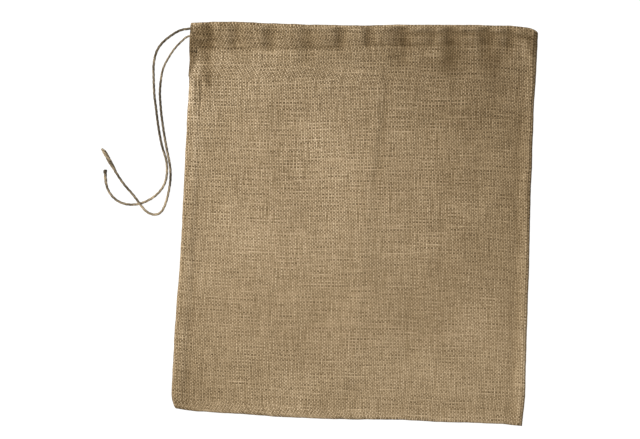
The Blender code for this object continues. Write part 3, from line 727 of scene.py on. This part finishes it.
def sheet_mesh(name):
    """The cloth as one sheet, with its places in the cut cloth as a UV map."""
    columns, rows = column_list(), row_list()
    arrays = column_arrays(columns)
    points = np.stack([row_points(arrays, row) for row in rows], axis=1)
    across = [cloth_across(column) * MM for column in columns]
    up = [cloth_up(row) * MM for row in rows]
    faces = grid_faces(len(columns), len(rows))
    data = bpy.data.meshes.new(name)
    data.from_pydata(in_frame(points.reshape(-1, 3)), [],
                     [[i * len(rows) + j for i, j in face] for face in faces])
    give_places(data, "cut_cloth", [(across[i], up[j]) for face in faces for i, j in face])
    give_values(data, "tone", painted_shade_and_tone(columns, rows, points))
    give_values(data, "crisp", crispness(points[..., 0], points[..., 1]))
    return data


def in_frame(points):
    """Points of the drawing, in millimetres, as points of the frame, in metres."""
    return ((np.asarray(points) - (*MIDDLE, 0)) * MM).tolist()


def join(data, name, finish):
    """A mesh as a piece of the scene, with its finish."""
    data.shade_smooth()
    data.materials.append(finish)
    piece = bpy.data.objects.new(name, data)
    bpy.context.scene.collection.objects.link(piece)
    return piece


def make_sheet(finish):
    """The sack's cloth: the sheet with its meeting points made one, and with its thickness."""
    data = sheet_mesh("sack_sheet")
    mesh = bmesh.new()
    mesh.from_mesh(data)
    bmesh.ops.remove_doubles(mesh, verts=mesh.verts[:], dist=SAME_POINT * MM)
    mesh.to_mesh(data)
    mesh.free()
    piece = join(data, "sack_sheet", finish)
    thick = piece.modifiers.new("thickness", "SOLIDIFY")
    thick.thickness = CLOTH * MM
    thick.offset = -1
    thick.use_rim = True
    return piece


# ---------------------------------------------------------------- the twine

RING_POINTS = 8         # points round a ply
FIBRE_POINTS = 4        # and round a fibre
PLY_TONES = (-0.20, 0.03, 0.17)
PLY_RADIUS = 0.95
PLY_OFFSET = 0.55       # from the cord's middle to a ply's
STEP = 0.8              # between the rings of a ply
SOFTENED = 6            # rings each way over which a free end's line is evened out
HAIR_SPACE = 5.0        # one loose fibre stands off the cord in each such length
HAIR_RADIUS = 0.06
HAIR_ROOT = 1.1         # how far from the cord's middle it starts
HAIR_LENGTH = (0.6, 1.7)
HAIR_LEAN = 2.5         # how far along the cord it leans, at most
HAIR_RINGS = 5
BARE_RINGS = 20         # rings without loose fibres at the ends of a cord
THINNED = 0.5           # share of its thickness that a fibre loses by its end

# The front end's tip is a short stem a little thicker than the cord, then a knob
STEM_SWELL = 0.22
STEM_FADES = (10, 20)   # distances from the tip over which that is lost
KNOB_SWELL = 0.34
KNOB_FADES = (2.8, 4.2)
KNOB_ROUND = 0.4        # share that its rounded end loses
KNOB_ROUND_LENGTH = 1.2

# The back end's tip has come untwisted
FRAYED = 32.0           # over this length
FRAY_SWELL = 0.54
FRAY_FULL = 15.0        # distance from the tip at which it has its whole swell
FRAY_CUT = 4.0          # length of the taper to its cut
FRAY_TAPER = 0.35
FRAYED_TONES = 1.8      # how much further apart the frayed plies' tones are
THIN_NECK = 0.14        # share by which the cord is thinner where it leaves the casing
NECK_ENDS = (45, 80)    # and the places along it between which it fills out
TIP_FIBRES = 26
FIBRE_RADIUS = 0.20
FIBRE_START = 4.0       # shortest distance from the tip at which one starts
FIBRE_TONE = 0.45
FIBRE_TONES = (-0.7, 1.0)
FIBRE_PALE = 0.7        # how much lighter its end is
SPLAY = (-0.6, 0.15)    # how far in or out its end stands, as a share of its distance
PAST_TIP = (0.3, 1.0)   # steps past the tip, as a share of the rings' spacing
PAST_STEPS = 3


def smooth_line(points, spacing, soft):
    """Points at an even spacing on a smooth curve through the given ones, and places along it."""
    route = np.array(points, dtype=float)
    lengths = np.linalg.norm(np.diff(route, axis=0), axis=1)
    place = np.concatenate(([0.0], np.cumsum(lengths)))
    stops = np.linspace(0, place[-1], int(place[-1] / spacing) + 1)
    line = np.stack([curve(np.stack([place, values], axis=1), stops) for values in route.T], axis=1)
    kernel = np.ones(2 * soft + 1) / (2 * soft + 1)
    before = 2 * line[0] - line[soft:0:-1]
    after = 2 * line[-1] - line[-2:-soft - 2:-1]
    padded = np.concatenate([before, line, after])
    line = np.stack([np.convolve(values, kernel, "valid") for values in padded.T], axis=1)
    along = np.concatenate(([0.0], np.cumsum(np.linalg.norm(np.diff(line, axis=0), axis=1))))
    return line, along


def side_vectors(line):
    """Two directions square to a line at each of its points, level and upright."""
    ahead = np.gradient(line, axis=0)
    ahead /= np.linalg.norm(ahead, axis=1)[:, None]
    level = np.cross(ahead, (0, 0, 1.0))
    level /= np.linalg.norm(level, axis=1)[:, None]
    return level, np.cross(level, ahead)


class Strands:
    """The tubes of one mesh in the making."""

    def __init__(self):
        self.verts = []
        self.faces = []
        self.places = []
        self.tones = []

    def add(self, centre, radius, along, tone, count):
        """Add a closed tube of that many points round, kept above the ground."""
        first = len(self.verts)
        level, upright = side_vectors(centre)
        turn = np.linspace(0, 2 * math.pi, count, endpoint=False)
        around = (np.cos(turn)[None, :, None] * level[:, None]
                  + np.sin(turn)[None, :, None] * upright[:, None])
        rings = centre[:, None] + around * np.reshape(radius, (-1, 1, 1))
        rings[..., 2] = np.maximum(rings[..., 2], 0)
        self.verts += in_frame(rings.reshape(-1, 3))
        self.tones += np.repeat(tone, count).tolist()
        self.add_side(first, along, count)
        last = len(rings) - 1
        self.add_cap(first, along[0], list(reversed(range(count))))
        self.add_cap(first + last * count, along[last], list(range(count)))

    def add_side(self, first, along, count):
        """The faces round a tube, from ring to ring."""
        for corners in grid_faces(len(along), count + 1):
            corners = [corners[k] for k in (0, 3, 2, 1)]
            self.faces.append([first + i * count + j % count for i, j in corners])
            self.places += [(j / count, along[i] * MM) for i, j in corners]

    def add_cap(self, first, along, order):
        """The flat face at an end of a tube."""
        self.faces.append([first + j for j in order])
        self.places += [(0.5, along * MM)] * len(order)

    def piece(self, name, finish):
        data = bpy.data.meshes.new(name)
        data.from_pydata(self.verts, [], self.faces)
        give_places(data, "along_yarn", self.places)
        give_values(data, "tone", self.tones)
        return join(data, name, finish)


def twisted(line, along, start, out):
    """A line wound round another at a distance, as the plies of the cord are."""
    level, upright = side_vectors(line)
    turn = (2 * math.pi * along / TWIST + start)[:, None]
    return line + np.reshape(out, (-1, 1)) * (np.cos(turn) * level + np.sin(turn) * upright)


def add_tip_fibres(strands, line, along, share):
    """Fibres that follow the last of the twist on the cord's outside, and splay past its tip."""
    draw = random.Random(5)
    past = np.arange(1, PAST_STEPS + 1)
    for _ in range(TIP_FIBRES):
        first = np.searchsorted(along, along[-1] - draw.uniform(FIBRE_START, FRAYED))
        ahead = (line[-1] - line[-2]) * draw.uniform(*PAST_TIP)
        middle = np.concatenate([line[first:], line[-1] + np.outer(past, ahead)])
        place = np.concatenate([along[first:], along[-1] + past * np.linalg.norm(ahead)])
        part = np.linspace(0, 1, len(middle))
        thick = np.append(share[first:], [share[-1]] * PAST_STEPS)
        out = thick * (PLY_RADIUS + PLY_OFFSET) * (1 + draw.uniform(*SPLAY) * part ** 2)
        centre = twisted(middle, place, draw.uniform(0, 2 * math.pi), out)
        tone = FIBRE_TONE * draw.uniform(*FIBRE_TONES) + FIBRE_PALE * part ** 4
        strands.add(centre, FIBRE_RADIUS * (1 - THINNED * part), place, tone, FIBRE_POINTS)


def add_hairs(strands, line, along):
    """Loose fibres that stand off the cord."""
    draw = random.Random(8)
    level, upright = side_vectors(line)
    part = np.linspace(0, 1, HAIR_RINGS)[:, None]
    for _ in range(int(along[-1] / HAIR_SPACE)):
        i = draw.randrange(BARE_RINGS, len(line) - BARE_RINGS)
        turn = draw.uniform(0, 2 * math.pi)
        out = math.cos(turn) * level[i] + abs(math.sin(turn)) * upright[i]
        ahead = (line[i + 1] - line[i]) / STEP * draw.uniform(-HAIR_LEAN, HAIR_LEAN)
        stand = HAIR_ROOT + part * draw.uniform(*HAIR_LENGTH)
        centre = line[i] + out * stand + ahead * part ** 2
        strands.add(centre, HAIR_RADIUS * (1 - THINNED * part), along[i] + part[:, 0],
                    np.zeros(HAIR_RINGS), FIBRE_POINTS)


def blunt_tip(along, length):
    """How much thicker than the cord the front end is: its stem, then its knob."""
    left = length - along
    stem = STEM_SWELL * (1 - ease(left, *STEM_FADES))
    knob = KNOB_SWELL * (1 - ease(left, *KNOB_FADES))
    return 1 + stem + knob - KNOB_ROUND * (1 - ease(left, 0, KNOB_ROUND_LENGTH))


def frayed_tip(along, length):
    """The back end: thinner where it leaves the casing, swollen where frayed, and cut."""
    left = length - along
    thin = THIN_NECK * (1 - ease(along, *NECK_ENDS))
    swell = 1 - thin + FRAY_SWELL * (1 - ease(left, FRAY_FULL, FRAYED))
    return swell * (1 - FRAY_TAPER * (1 - ease(left, 0, FRAY_CUT)))


def make_twine(name, points, finish, end=None):
    """Plies twisted round a smooth line, with what a free end has of its own."""
    line, along = smooth_line(points, STEP, SOFTENED if end else 0)
    share, tone = np.ones(len(line)), np.zeros(len(line))
    frayed = bool(end) and end.frayed
    if end:
        share = end.swell(along, along[-1])
        tone = curve(end.shades, along + end.shades[-1].along - along[-1])
    strands = Strands()
    for ply, lighter in enumerate(PLY_TONES):
        centre = twisted(line, along, ply * 2 * math.pi / len(PLY_TONES), PLY_OFFSET * share)
        apart = lighter * (1 + FRAYED_TONES * (share - 1)) if frayed else lighter
        strands.add(centre, PLY_RADIUS * share, along, tone + apart, RING_POINTS)
    if end:
        add_hairs(strands, line, along)
    if frayed:
        add_tip_fibres(strands, line, along, share)
    return strands.piece(name, finish), line


# ---------------------------------------------------------------- finishes

class Number:
    """A value socket, so that shader maths can be written as an expression."""

    def __init__(self, finish, socket):
        self.finish = finish
        self.socket = socket

    def maths(self, operation, *values):
        return self.finish.node("ShaderNodeMath", {"operation": operation}, enumerate(values))

    def __add__(self, other):
        return self.maths("ADD", self, other)

    def __sub__(self, other):
        return self.maths("SUBTRACT", self, other)

    def __rsub__(self, other):
        return self.maths("SUBTRACT", other, self)

    def __mul__(self, other):
        return self.maths("MULTIPLY", self, other)

    def __truediv__(self, other):
        return self.maths("DIVIDE", self, other)

    def __pow__(self, other):
        return self.maths("POWER", self, other)

    def __gt__(self, other):
        return self.maths("GREATER_THAN", self, other)

    __radd__ = __add__
    __rmul__ = __mul__

    def floor(self):
        return self.maths("FLOOR", self)

    def part(self):
        return self.maths("FRACT", self)

    def cosine(self):
        return self.maths("COSINE", self)

    def over(self, other):
        return self.maths("MAXIMUM", self, other)

    def under(self, other):
        return self.maths("MINIMUM", self, other)

    def between(self, low, high):
        """0 below low, 1 above high, smooth between."""
        return self.finish.node("ShaderNodeMapRange", {"interpolation_type": "SMOOTHSTEP"},
                                {"Value": self, "From Min": low, "From Max": high})


SHEEN = 0.08            # dry jute hardly shines,
HESSIAN_ROUGHNESS = 0.92        # and it is rough
TWINE_ROUGHNESS = 0.85
FLOOR_ROUGHNESS = 0.9
FLOOR_COLOUR = (0.08, 0.08, 0.08, 1)
WHITE = (1, 1, 1, 1)


class Finish:
    """A material in the making."""

    def __init__(self, name, roughness):
        self.material = bpy.data.materials.new(name)
        self.material.use_nodes = True
        self.tree = self.material.node_tree
        self.shader = self.tree.nodes["Principled BSDF"]
        self.shader.inputs["Roughness"].default_value = roughness
        self.shader.inputs["Specular IOR Level"].default_value = SHEEN

    def node(self, kind, settings=(), sockets=(), output=0):
        """Add a node: its settings first, then its sockets' values or links."""
        node = self.tree.nodes.new(kind)
        for name, value in dict(settings).items():
            setattr(node, name, value)
        for key, value in dict(sockets).items():
            self.give(node.inputs[key], value)
        return Number(self, node.outputs[output])

    def give(self, socket, value):
        if isinstance(value, Number):
            self.tree.links.new(value.socket, socket)
        else:
            socket.default_value = value

    def places(self, layer, scale):
        """The two coordinates of a UV map, in the given unit."""
        uv = self.node("ShaderNodeUVMap", {"uv_map": layer})
        parts = self.node("ShaderNodeSeparateXYZ", (), {"Vector": uv})
        outputs = parts.socket.node.outputs
        return [Number(self, outputs[axis]) / scale for axis in ("X", "Y")]

    def noise(self, x, y, z=0.0, detail=1.0):
        """Soft noise about 0.5 at a place.  A z of its own sets it apart from the others."""
        at = self.node("ShaderNodeCombineXYZ", (), {"X": x, "Y": y, "Z": z})
        return self.node("ShaderNodeTexNoise", (), {"Vector": at, "Scale": 1.0, "Detail": detail})

    def tint(self, share, first, second):
        """A colour between two."""
        return self.node("ShaderNodeMix", {"data_type": "RGBA"}, {0: share, 6: first, 7: second}, 2)

    def point_value(self, name):
        """The value that each point of a mesh keeps under a name."""
        return self.node("ShaderNodeAttribute", {"attribute_name": name}, (), 2)

    def jute(self, lightness):
        """The colour of jute at a lightness: the darker, the browner."""
        green = lightness ** GREEN.power * GREEN.share
        blue = lightness ** BLUE.power * BLUE.share
        return self.node("ShaderNodeCombineColor", (), {0: lightness, 1: green, 2: blue})

    def close(self, colour, height, distance):
        """Give the shader its colour and its bump, and return the finished material."""
        bump_node = self.node("ShaderNodeBump", (),
                              {"Height": height, "Distance": distance, "Strength": 1.0})
        self.give(self.shader.inputs["Base Color"], colour)
        self.give(self.shader.inputs["Normal"], bump_node)
        return self.material


# How much red light comes back from the open corners of the weave, painted dark as painted shade of
# the gaps between the yarns, and from the yarns
OPEN_CORNER_SHADE = 0.020
HOLE_SHARE = 0.85       # share of such a corner that is open
DARK_JUTE = 0.088
LIGHT_JUTE = 0.498
LEAST_TONE = 0.1        # jute darkened by its painted shade and its tone keeps at least this share of its lightness
Follows = namedtuple("Follows", "power share")
GREEN = Follows(1.10, 0.816)    # how jute's green and blue follow its red
BLUE = Follows(1.30, 0.597)
DARK_TWINE = (0.055, 0.0430, 0.0275, 1)
LIGHT_TWINE = (0.360, 0.282, 0.182, 1)

# The weave.  A rate is in changes to a yarn, and a stride sets one yarn's noise off the next one's.
WARP_PAINTED_LIGHT = 0.165    # painted light and shade: how much lighter the warp is painted, and the weft darker, than the middle of the two
WARP_UNEVEN = 0.86      # how much the tones of the warp's yarns differ
WEFT_UNEVEN = 1.15      # and the weft's
BESIDE = 0.7            # share of a yarn's tone that the one beside it takes off
YARN_TONE = 0.475       # middle tone of the yarns
MIDDLE_TONE = 0.48      # and of the cloth
TONES = (-0.2, 1.2)     # tones of the darkest and the lightest jute
FIBRE_CONTRAST = 0.70
CROSSING_CONTRAST = 0.4         # between one crossing and the next
PATCH_CONTRAST = 0.3
YARN_TOP_PAINTED_LIGHT = 0.2      # painted light: how much lighter the top of a yarn is painted than its foot
PATCH_RATE = 0.02
WANDER = 1.0            # how far the yarns wander off a straight line, in yarns
WARP_WANDERS = (0.06, 0.02)     # rates of that across and along the warp
WEFT_WANDERS = (0.02, 0.07)     # and along and across the weft
STREAK_STRIDE = 7.31    # of a yarn's tone
STREAK_RATE = 0.05
FIBRE_STRIDE = 3.17     # of its fibres
FIBRE_RATE = 0.7
SLUB_STRIDE = 5.17      # of its width
SLUB_RATE = 0.10
CROSSING_STRIDES = (3.7, 5.3)
WIDTH = 0.40            # half a yarn's width, as a share of its space
SLUB = 0.35             # and how far that varies
OVER_UNDER = 0.35       # how far a yarn rises and dips at a crossing
YARN_ROUND = 0.65       # height of its round section
YARN_SUNK = 0.2
OPEN_BELOW = (-0.1, 0.32)       # heights between which a corner counts as open
WEAVE_DEPTH = 0.45      # height of one unit of the weave

# The twine's fibres.  A rate is in changes to a millimetre along the cord.
FIBRES_ROUND = 9        # round one ply
FIBRE_SLANT = 0.35      # and how far they go round it in a millimetre
TWINE_FIBRE = 0.12
TWINE_PATCH = 0.022
TWINE_BLOTCH = 0.16
TWINE_CONTRASTS = (1.2, 0.9, 0.9)       # of the fibres, the patches and the blotches
TWINE_TONE = 0.59
TWINE_TONES = (0.0, 1.35)       # tones of the darkest and the lightest twine
TWINE_DEPTH = 0.25


def yarn(finish, across, along, seed, uneven):
    """One set of yarns: number, place off the middle, tone and roundness at each place."""
    number = across.floor()
    streak = finish.noise(number * STREAK_STRIDE + seed, along * STREAK_RATE, detail=2.0)
    beside = finish.noise((number + 1) * STREAK_STRIDE + seed, along * STREAK_RATE, detail=2.0)
    fibre = finish.noise(number * FIBRE_STRIDE + seed, along * FIBRE_RATE, detail=2.0)
    slub = finish.noise(number * SLUB_STRIDE + seed, along * SLUB_RATE)
    own = (streak - beside * BESIDE - (1 - BESIDE) / 2) * uneven
    tone = own + (fibre - 0.5) * FIBRE_CONTRAST + YARN_TONE
    off = across.part() - 0.5
    width = WIDTH + (slub - 0.5) * SLUB
    round_ = (1 - (off / width) ** 2.0).over(0.0) ** 0.5
    return number, off, tone, round_ * YARN_ROUND - YARN_SUNK


def wandering(finish, warps, wefts):
    """The places across both sets of yarns, with the yarns no longer quite straight."""
    at = (warps * WARP_WANDERS[0], wefts * WARP_WANDERS[1])
    warps = warps + (finish.noise(*at) - 0.5) * WANDER
    at = (warps * WEFT_WANDERS[0], wefts * WEFT_WANDERS[1])
    wefts = wefts + (finish.noise(*at, 4.0) - 0.5) * WANDER
    return warps, wefts


def weave(finish, warps, wefts):
    """The plain weave's height, tone and open corners."""
    warp, warp_off, warp_tone, warp_round = yarn(finish, warps, wefts, 3.0, WARP_UNEVEN)
    weft, weft_off, weft_tone, weft_round = yarn(finish, wefts, warps, 61.0, WEFT_UNEVEN)
    over = 1 - ((warp + weft) / 2).part() * 4
    warp_height = over * (weft_off * math.pi).cosine() * OVER_UNDER + warp_round
    weft_height = over * (warp_off * math.pi).cosine() * -OVER_UNDER + weft_round
    on_top = warp_height > weft_height
    height = warp_height.over(weft_height)
    # one jute in two lights: the warp painted lit, the weft painted shaded
    tone = on_top * (warp_tone + WARP_PAINTED_LIGHT) + (1 - on_top) * (weft_tone - WARP_PAINTED_LIGHT)
    crossing = finish.noise(warp * CROSSING_STRIDES[0], weft * CROSSING_STRIDES[1], 31.0)
    # painted light on the tops of the yarns, and random tone from crossing to crossing
    tone = tone + (height - 0.5) * YARN_TOP_PAINTED_LIGHT + (crossing - 0.5) * CROSSING_CONTRAST
    return height, tone, 1 - height.between(*OPEN_BELOW)


def hessian():
    """Plain-woven jute: yarns that go over and under each other, with open corners between."""
    finish = Finish("hessian", HESSIAN_ROUGHNESS)
    across, along = finish.places("cut_cloth", MM)
    warps, wefts = wandering(finish, across * (ENDS / CUT_WIDTH), along * (PICKS / CUT_HEIGHT))
    height, tone, corner = weave(finish, warps, wefts)
    patch = finish.noise(warps * PATCH_RATE, wefts * PATCH_RATE, 9.0)
    crisp = finish.point_value("crisp")
    tone = (tone - MIDDLE_TONE) * crisp + (patch - 0.5) * PATCH_CONTRAST + MIDDLE_TONE
    lightness = mix(DARK_JUTE, LIGHT_JUTE, tone.between(*TONES))
    # painted shade in the weave's open corners
    lightness = mix(lightness, OPEN_CORNER_SHADE, (corner * crisp * HOLE_SHARE).under(1.0))
    # the point's tone brings in the sheet's painted shade and light with its own tone
    colour = finish.jute(lightness * (1 + finish.point_value("tone")).over(LEAST_TONE))
    return finish.close(colour, height * crisp, WEAVE_DEPTH * MM)


def twine():
    """Jute fibres that run along a twisted ply."""
    finish = Finish("twine", TWINE_ROUGHNESS)
    around, along = finish.places("along_yarn", 1.0)
    along = along / MM
    turned = around * FIBRES_ROUND + along * FIBRE_SLANT
    noises = (finish.noise(turned, along * TWINE_FIBRE, detail=3.0),
              finish.noise(along * TWINE_PATCH, 0.0, 5.0),
              finish.noise(along * TWINE_BLOTCH, 0.0, 8.0))
    tone = TWINE_TONE + finish.point_value("tone")
    for noise, contrast in zip(noises, TWINE_CONTRASTS):
        tone = tone + (noise - 0.5) * contrast
    colour = finish.tint(tone.between(*TWINE_TONES), DARK_TWINE, LIGHT_TWINE)
    return finish.close(colour, noises[0], TWINE_DEPTH * MM)


def plain_floor():
    """A plain floor that is bright by itself, so that it stays evenly pale."""
    finish = Finish("pale_floor", FLOOR_ROUGHNESS)
    finish.shader.inputs["Base Color"].default_value = FLOOR_COLOUR
    finish.shader.inputs["Emission Color"].default_value = WHITE
    finish.shader.inputs["Emission Strength"].default_value = 1.0
    return finish.material


# ---------------------------------------------------------------- the studio

VIEW_WIDE = 731.0       # what the camera takes in, across
VIEW_MIDDLE = (-40.6, -2.6)
LEAN = 2.6              # degrees that the sack lies turned in the view
CAMERA_HEIGHT = 2400.0
SENSOR = 36.0
FARTHEST = 20.0         # metres that the camera sees
FLOOR_SIDE = 3.0        # metres from the middle to each side of the floor
FLOOR_GAP = 0.05        # how far below the sack it lies, so that the two never meet
ROOM_LIGHT = 0.30       # soft light from all round

# Lights: place and size in metres, and power in watts
KEY_LIGHT = ("key", (-2.4, 0.95, 2.25), 1.1, 170)
FILL_LIGHT = ("fill", (0.2, -0.2, 1.9), 1.6, 10)


def make_camera():
    data = bpy.data.cameras.new("camera")
    data.sensor_width = SENSOR
    data.lens = SENSOR * CAMERA_HEIGHT / VIEW_WIDE
    data.clip_end = FARTHEST
    camera = bpy.data.objects.new("camera", data)
    camera.location = in_frame((*VIEW_MIDDLE, CAMERA_HEIGHT))
    camera.rotation_euler = (0, 0, math.radians(LEAN))
    bpy.context.scene.collection.objects.link(camera)
    bpy.context.scene.camera = camera


def make_light(name, place, size, power):
    """A square soft light that faces the middle of the sack."""
    data = bpy.data.lights.new(name, "AREA")
    data.shape = "SQUARE"
    data.size = size
    data.energy = power
    light = bpy.data.objects.new(name, data)
    light.location = place
    light.rotation_euler = (-Vector(place)).to_track_quat("-Z", "Y").to_euler()
    bpy.context.scene.collection.objects.link(light)


def make_floor():
    data = bpy.data.meshes.new("floor")
    corners = ((-1, -1), (1, -1), (1, 1), (-1, 1))
    data.from_pydata([(FLOOR_SIDE * x, FLOOR_SIDE * y, 0) for x, y in corners], [], [(0, 1, 2, 3)])
    floor = join(data, "floor", plain_floor())
    floor.location.z = -FLOOR_GAP * MM


def make_studio():
    make_floor()
    make_light(*KEY_LIGHT)
    make_light(*FILL_LIGHT)
    world = bpy.data.worlds.new("studio")
    world.use_nodes = True
    background = world.node_tree.nodes["Background"]
    background.inputs["Color"].default_value = WHITE
    background.inputs["Strength"].default_value = ROOM_LIGHT
    bpy.context.scene.world = world
    bpy.context.scene.view_settings.view_transform = "Standard"


# ---------------------------------------------------------------- putting it together

def fit(piece, node):
    """Let a piece ride on the frame and stand for a node, whose part it hides."""
    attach(piece, "root")
    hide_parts(node)


def channel_middle(x, face, share):
    """The middle of a channel: its place up the sack, and its height."""
    y = mix(curve(STITCH_LINE, x), top_edge(x) - CLOTH, share)
    middle, _ = casing_heights(np.array([x]), np.array([y]), share, face)
    return float(y), float(middle[0])


def end_route(end):
    """A free end's route, with its first two points set in the channel it leaves."""
    route = [list(point) for point in end.points]
    for point, share in zip(route, end.shares):
        point[1:] = channel_middle(point[0], end.face, share)
    return route


def fold_route():
    """The cord's turn round the right fold, dropping from the front's line to the back's."""
    points = []
    edge = float(right_side(CASING_MIDDLE))
    for angle in FOLD_ANGLES:
        share = mix(BACK_CORD_LINE, FOLD_CORD_LINE, 0.5 + angle / 180)
        inset = CLOTH + float(side_channel(share)) / 2
        turned = 1 - math.cos(math.radians(angle))
        x = edge - inset - (CASING_FOLD_RADIUS - inset) * turned
        y, high = channel_middle(x, 1, share)
        low = channel_middle(x, -1, share)[1]
        points.append((x, y, mix(low, high, 0.5 + math.sin(math.radians(angle)) / 2)))
    return points


def casing_route():
    """The cord's run inside the casing: along the front, round the fold and back."""
    stops = np.arange(RUN_START, right_side(CASING_MIDDLE) - CASING_FOLD_RADIUS, RUN_SPACE)
    front = [(x, *channel_middle(x, 1, float(cord_line(x)))) for x in stops]
    back = [(x, *channel_middle(x, -1, BACK_CORD_LINE)) for x in reversed(stops)]
    return front + fold_route() + back


End = namedtuple("End", "name node points face shares swell shades frayed")
ENDS_OF_CORD = (
    End("cord_end_front", "drawcord_end_front", END_FRONT, 1, (FRONT_CORD_LINE, FRONT_CORD_LINE),
        blunt_tip, FRONT_SHADES, False),
    End("cord_end_back", "drawcord_end_back", END_BACK, -1, (BACK_CORD_LINE, BACK_EXIT_LINE),
        frayed_tip, BACK_SHADES, True),
)


def make_cords(finish):
    """The run inside the casing, and the two free ends."""
    run, _ = make_twine("cord_run", casing_route(), finish)
    fit(run, "drawcord_run")
    for end in ENDS_OF_CORD:
        piece, line = make_twine(end.name, end_route(end), finish, end)
        fit(piece, end.node)


make_camera()
twine_finish = twine()
make_cords(twine_finish)
sheet = make_sheet(hessian())
fit(sheet, "sack_cloth")
make_studio()
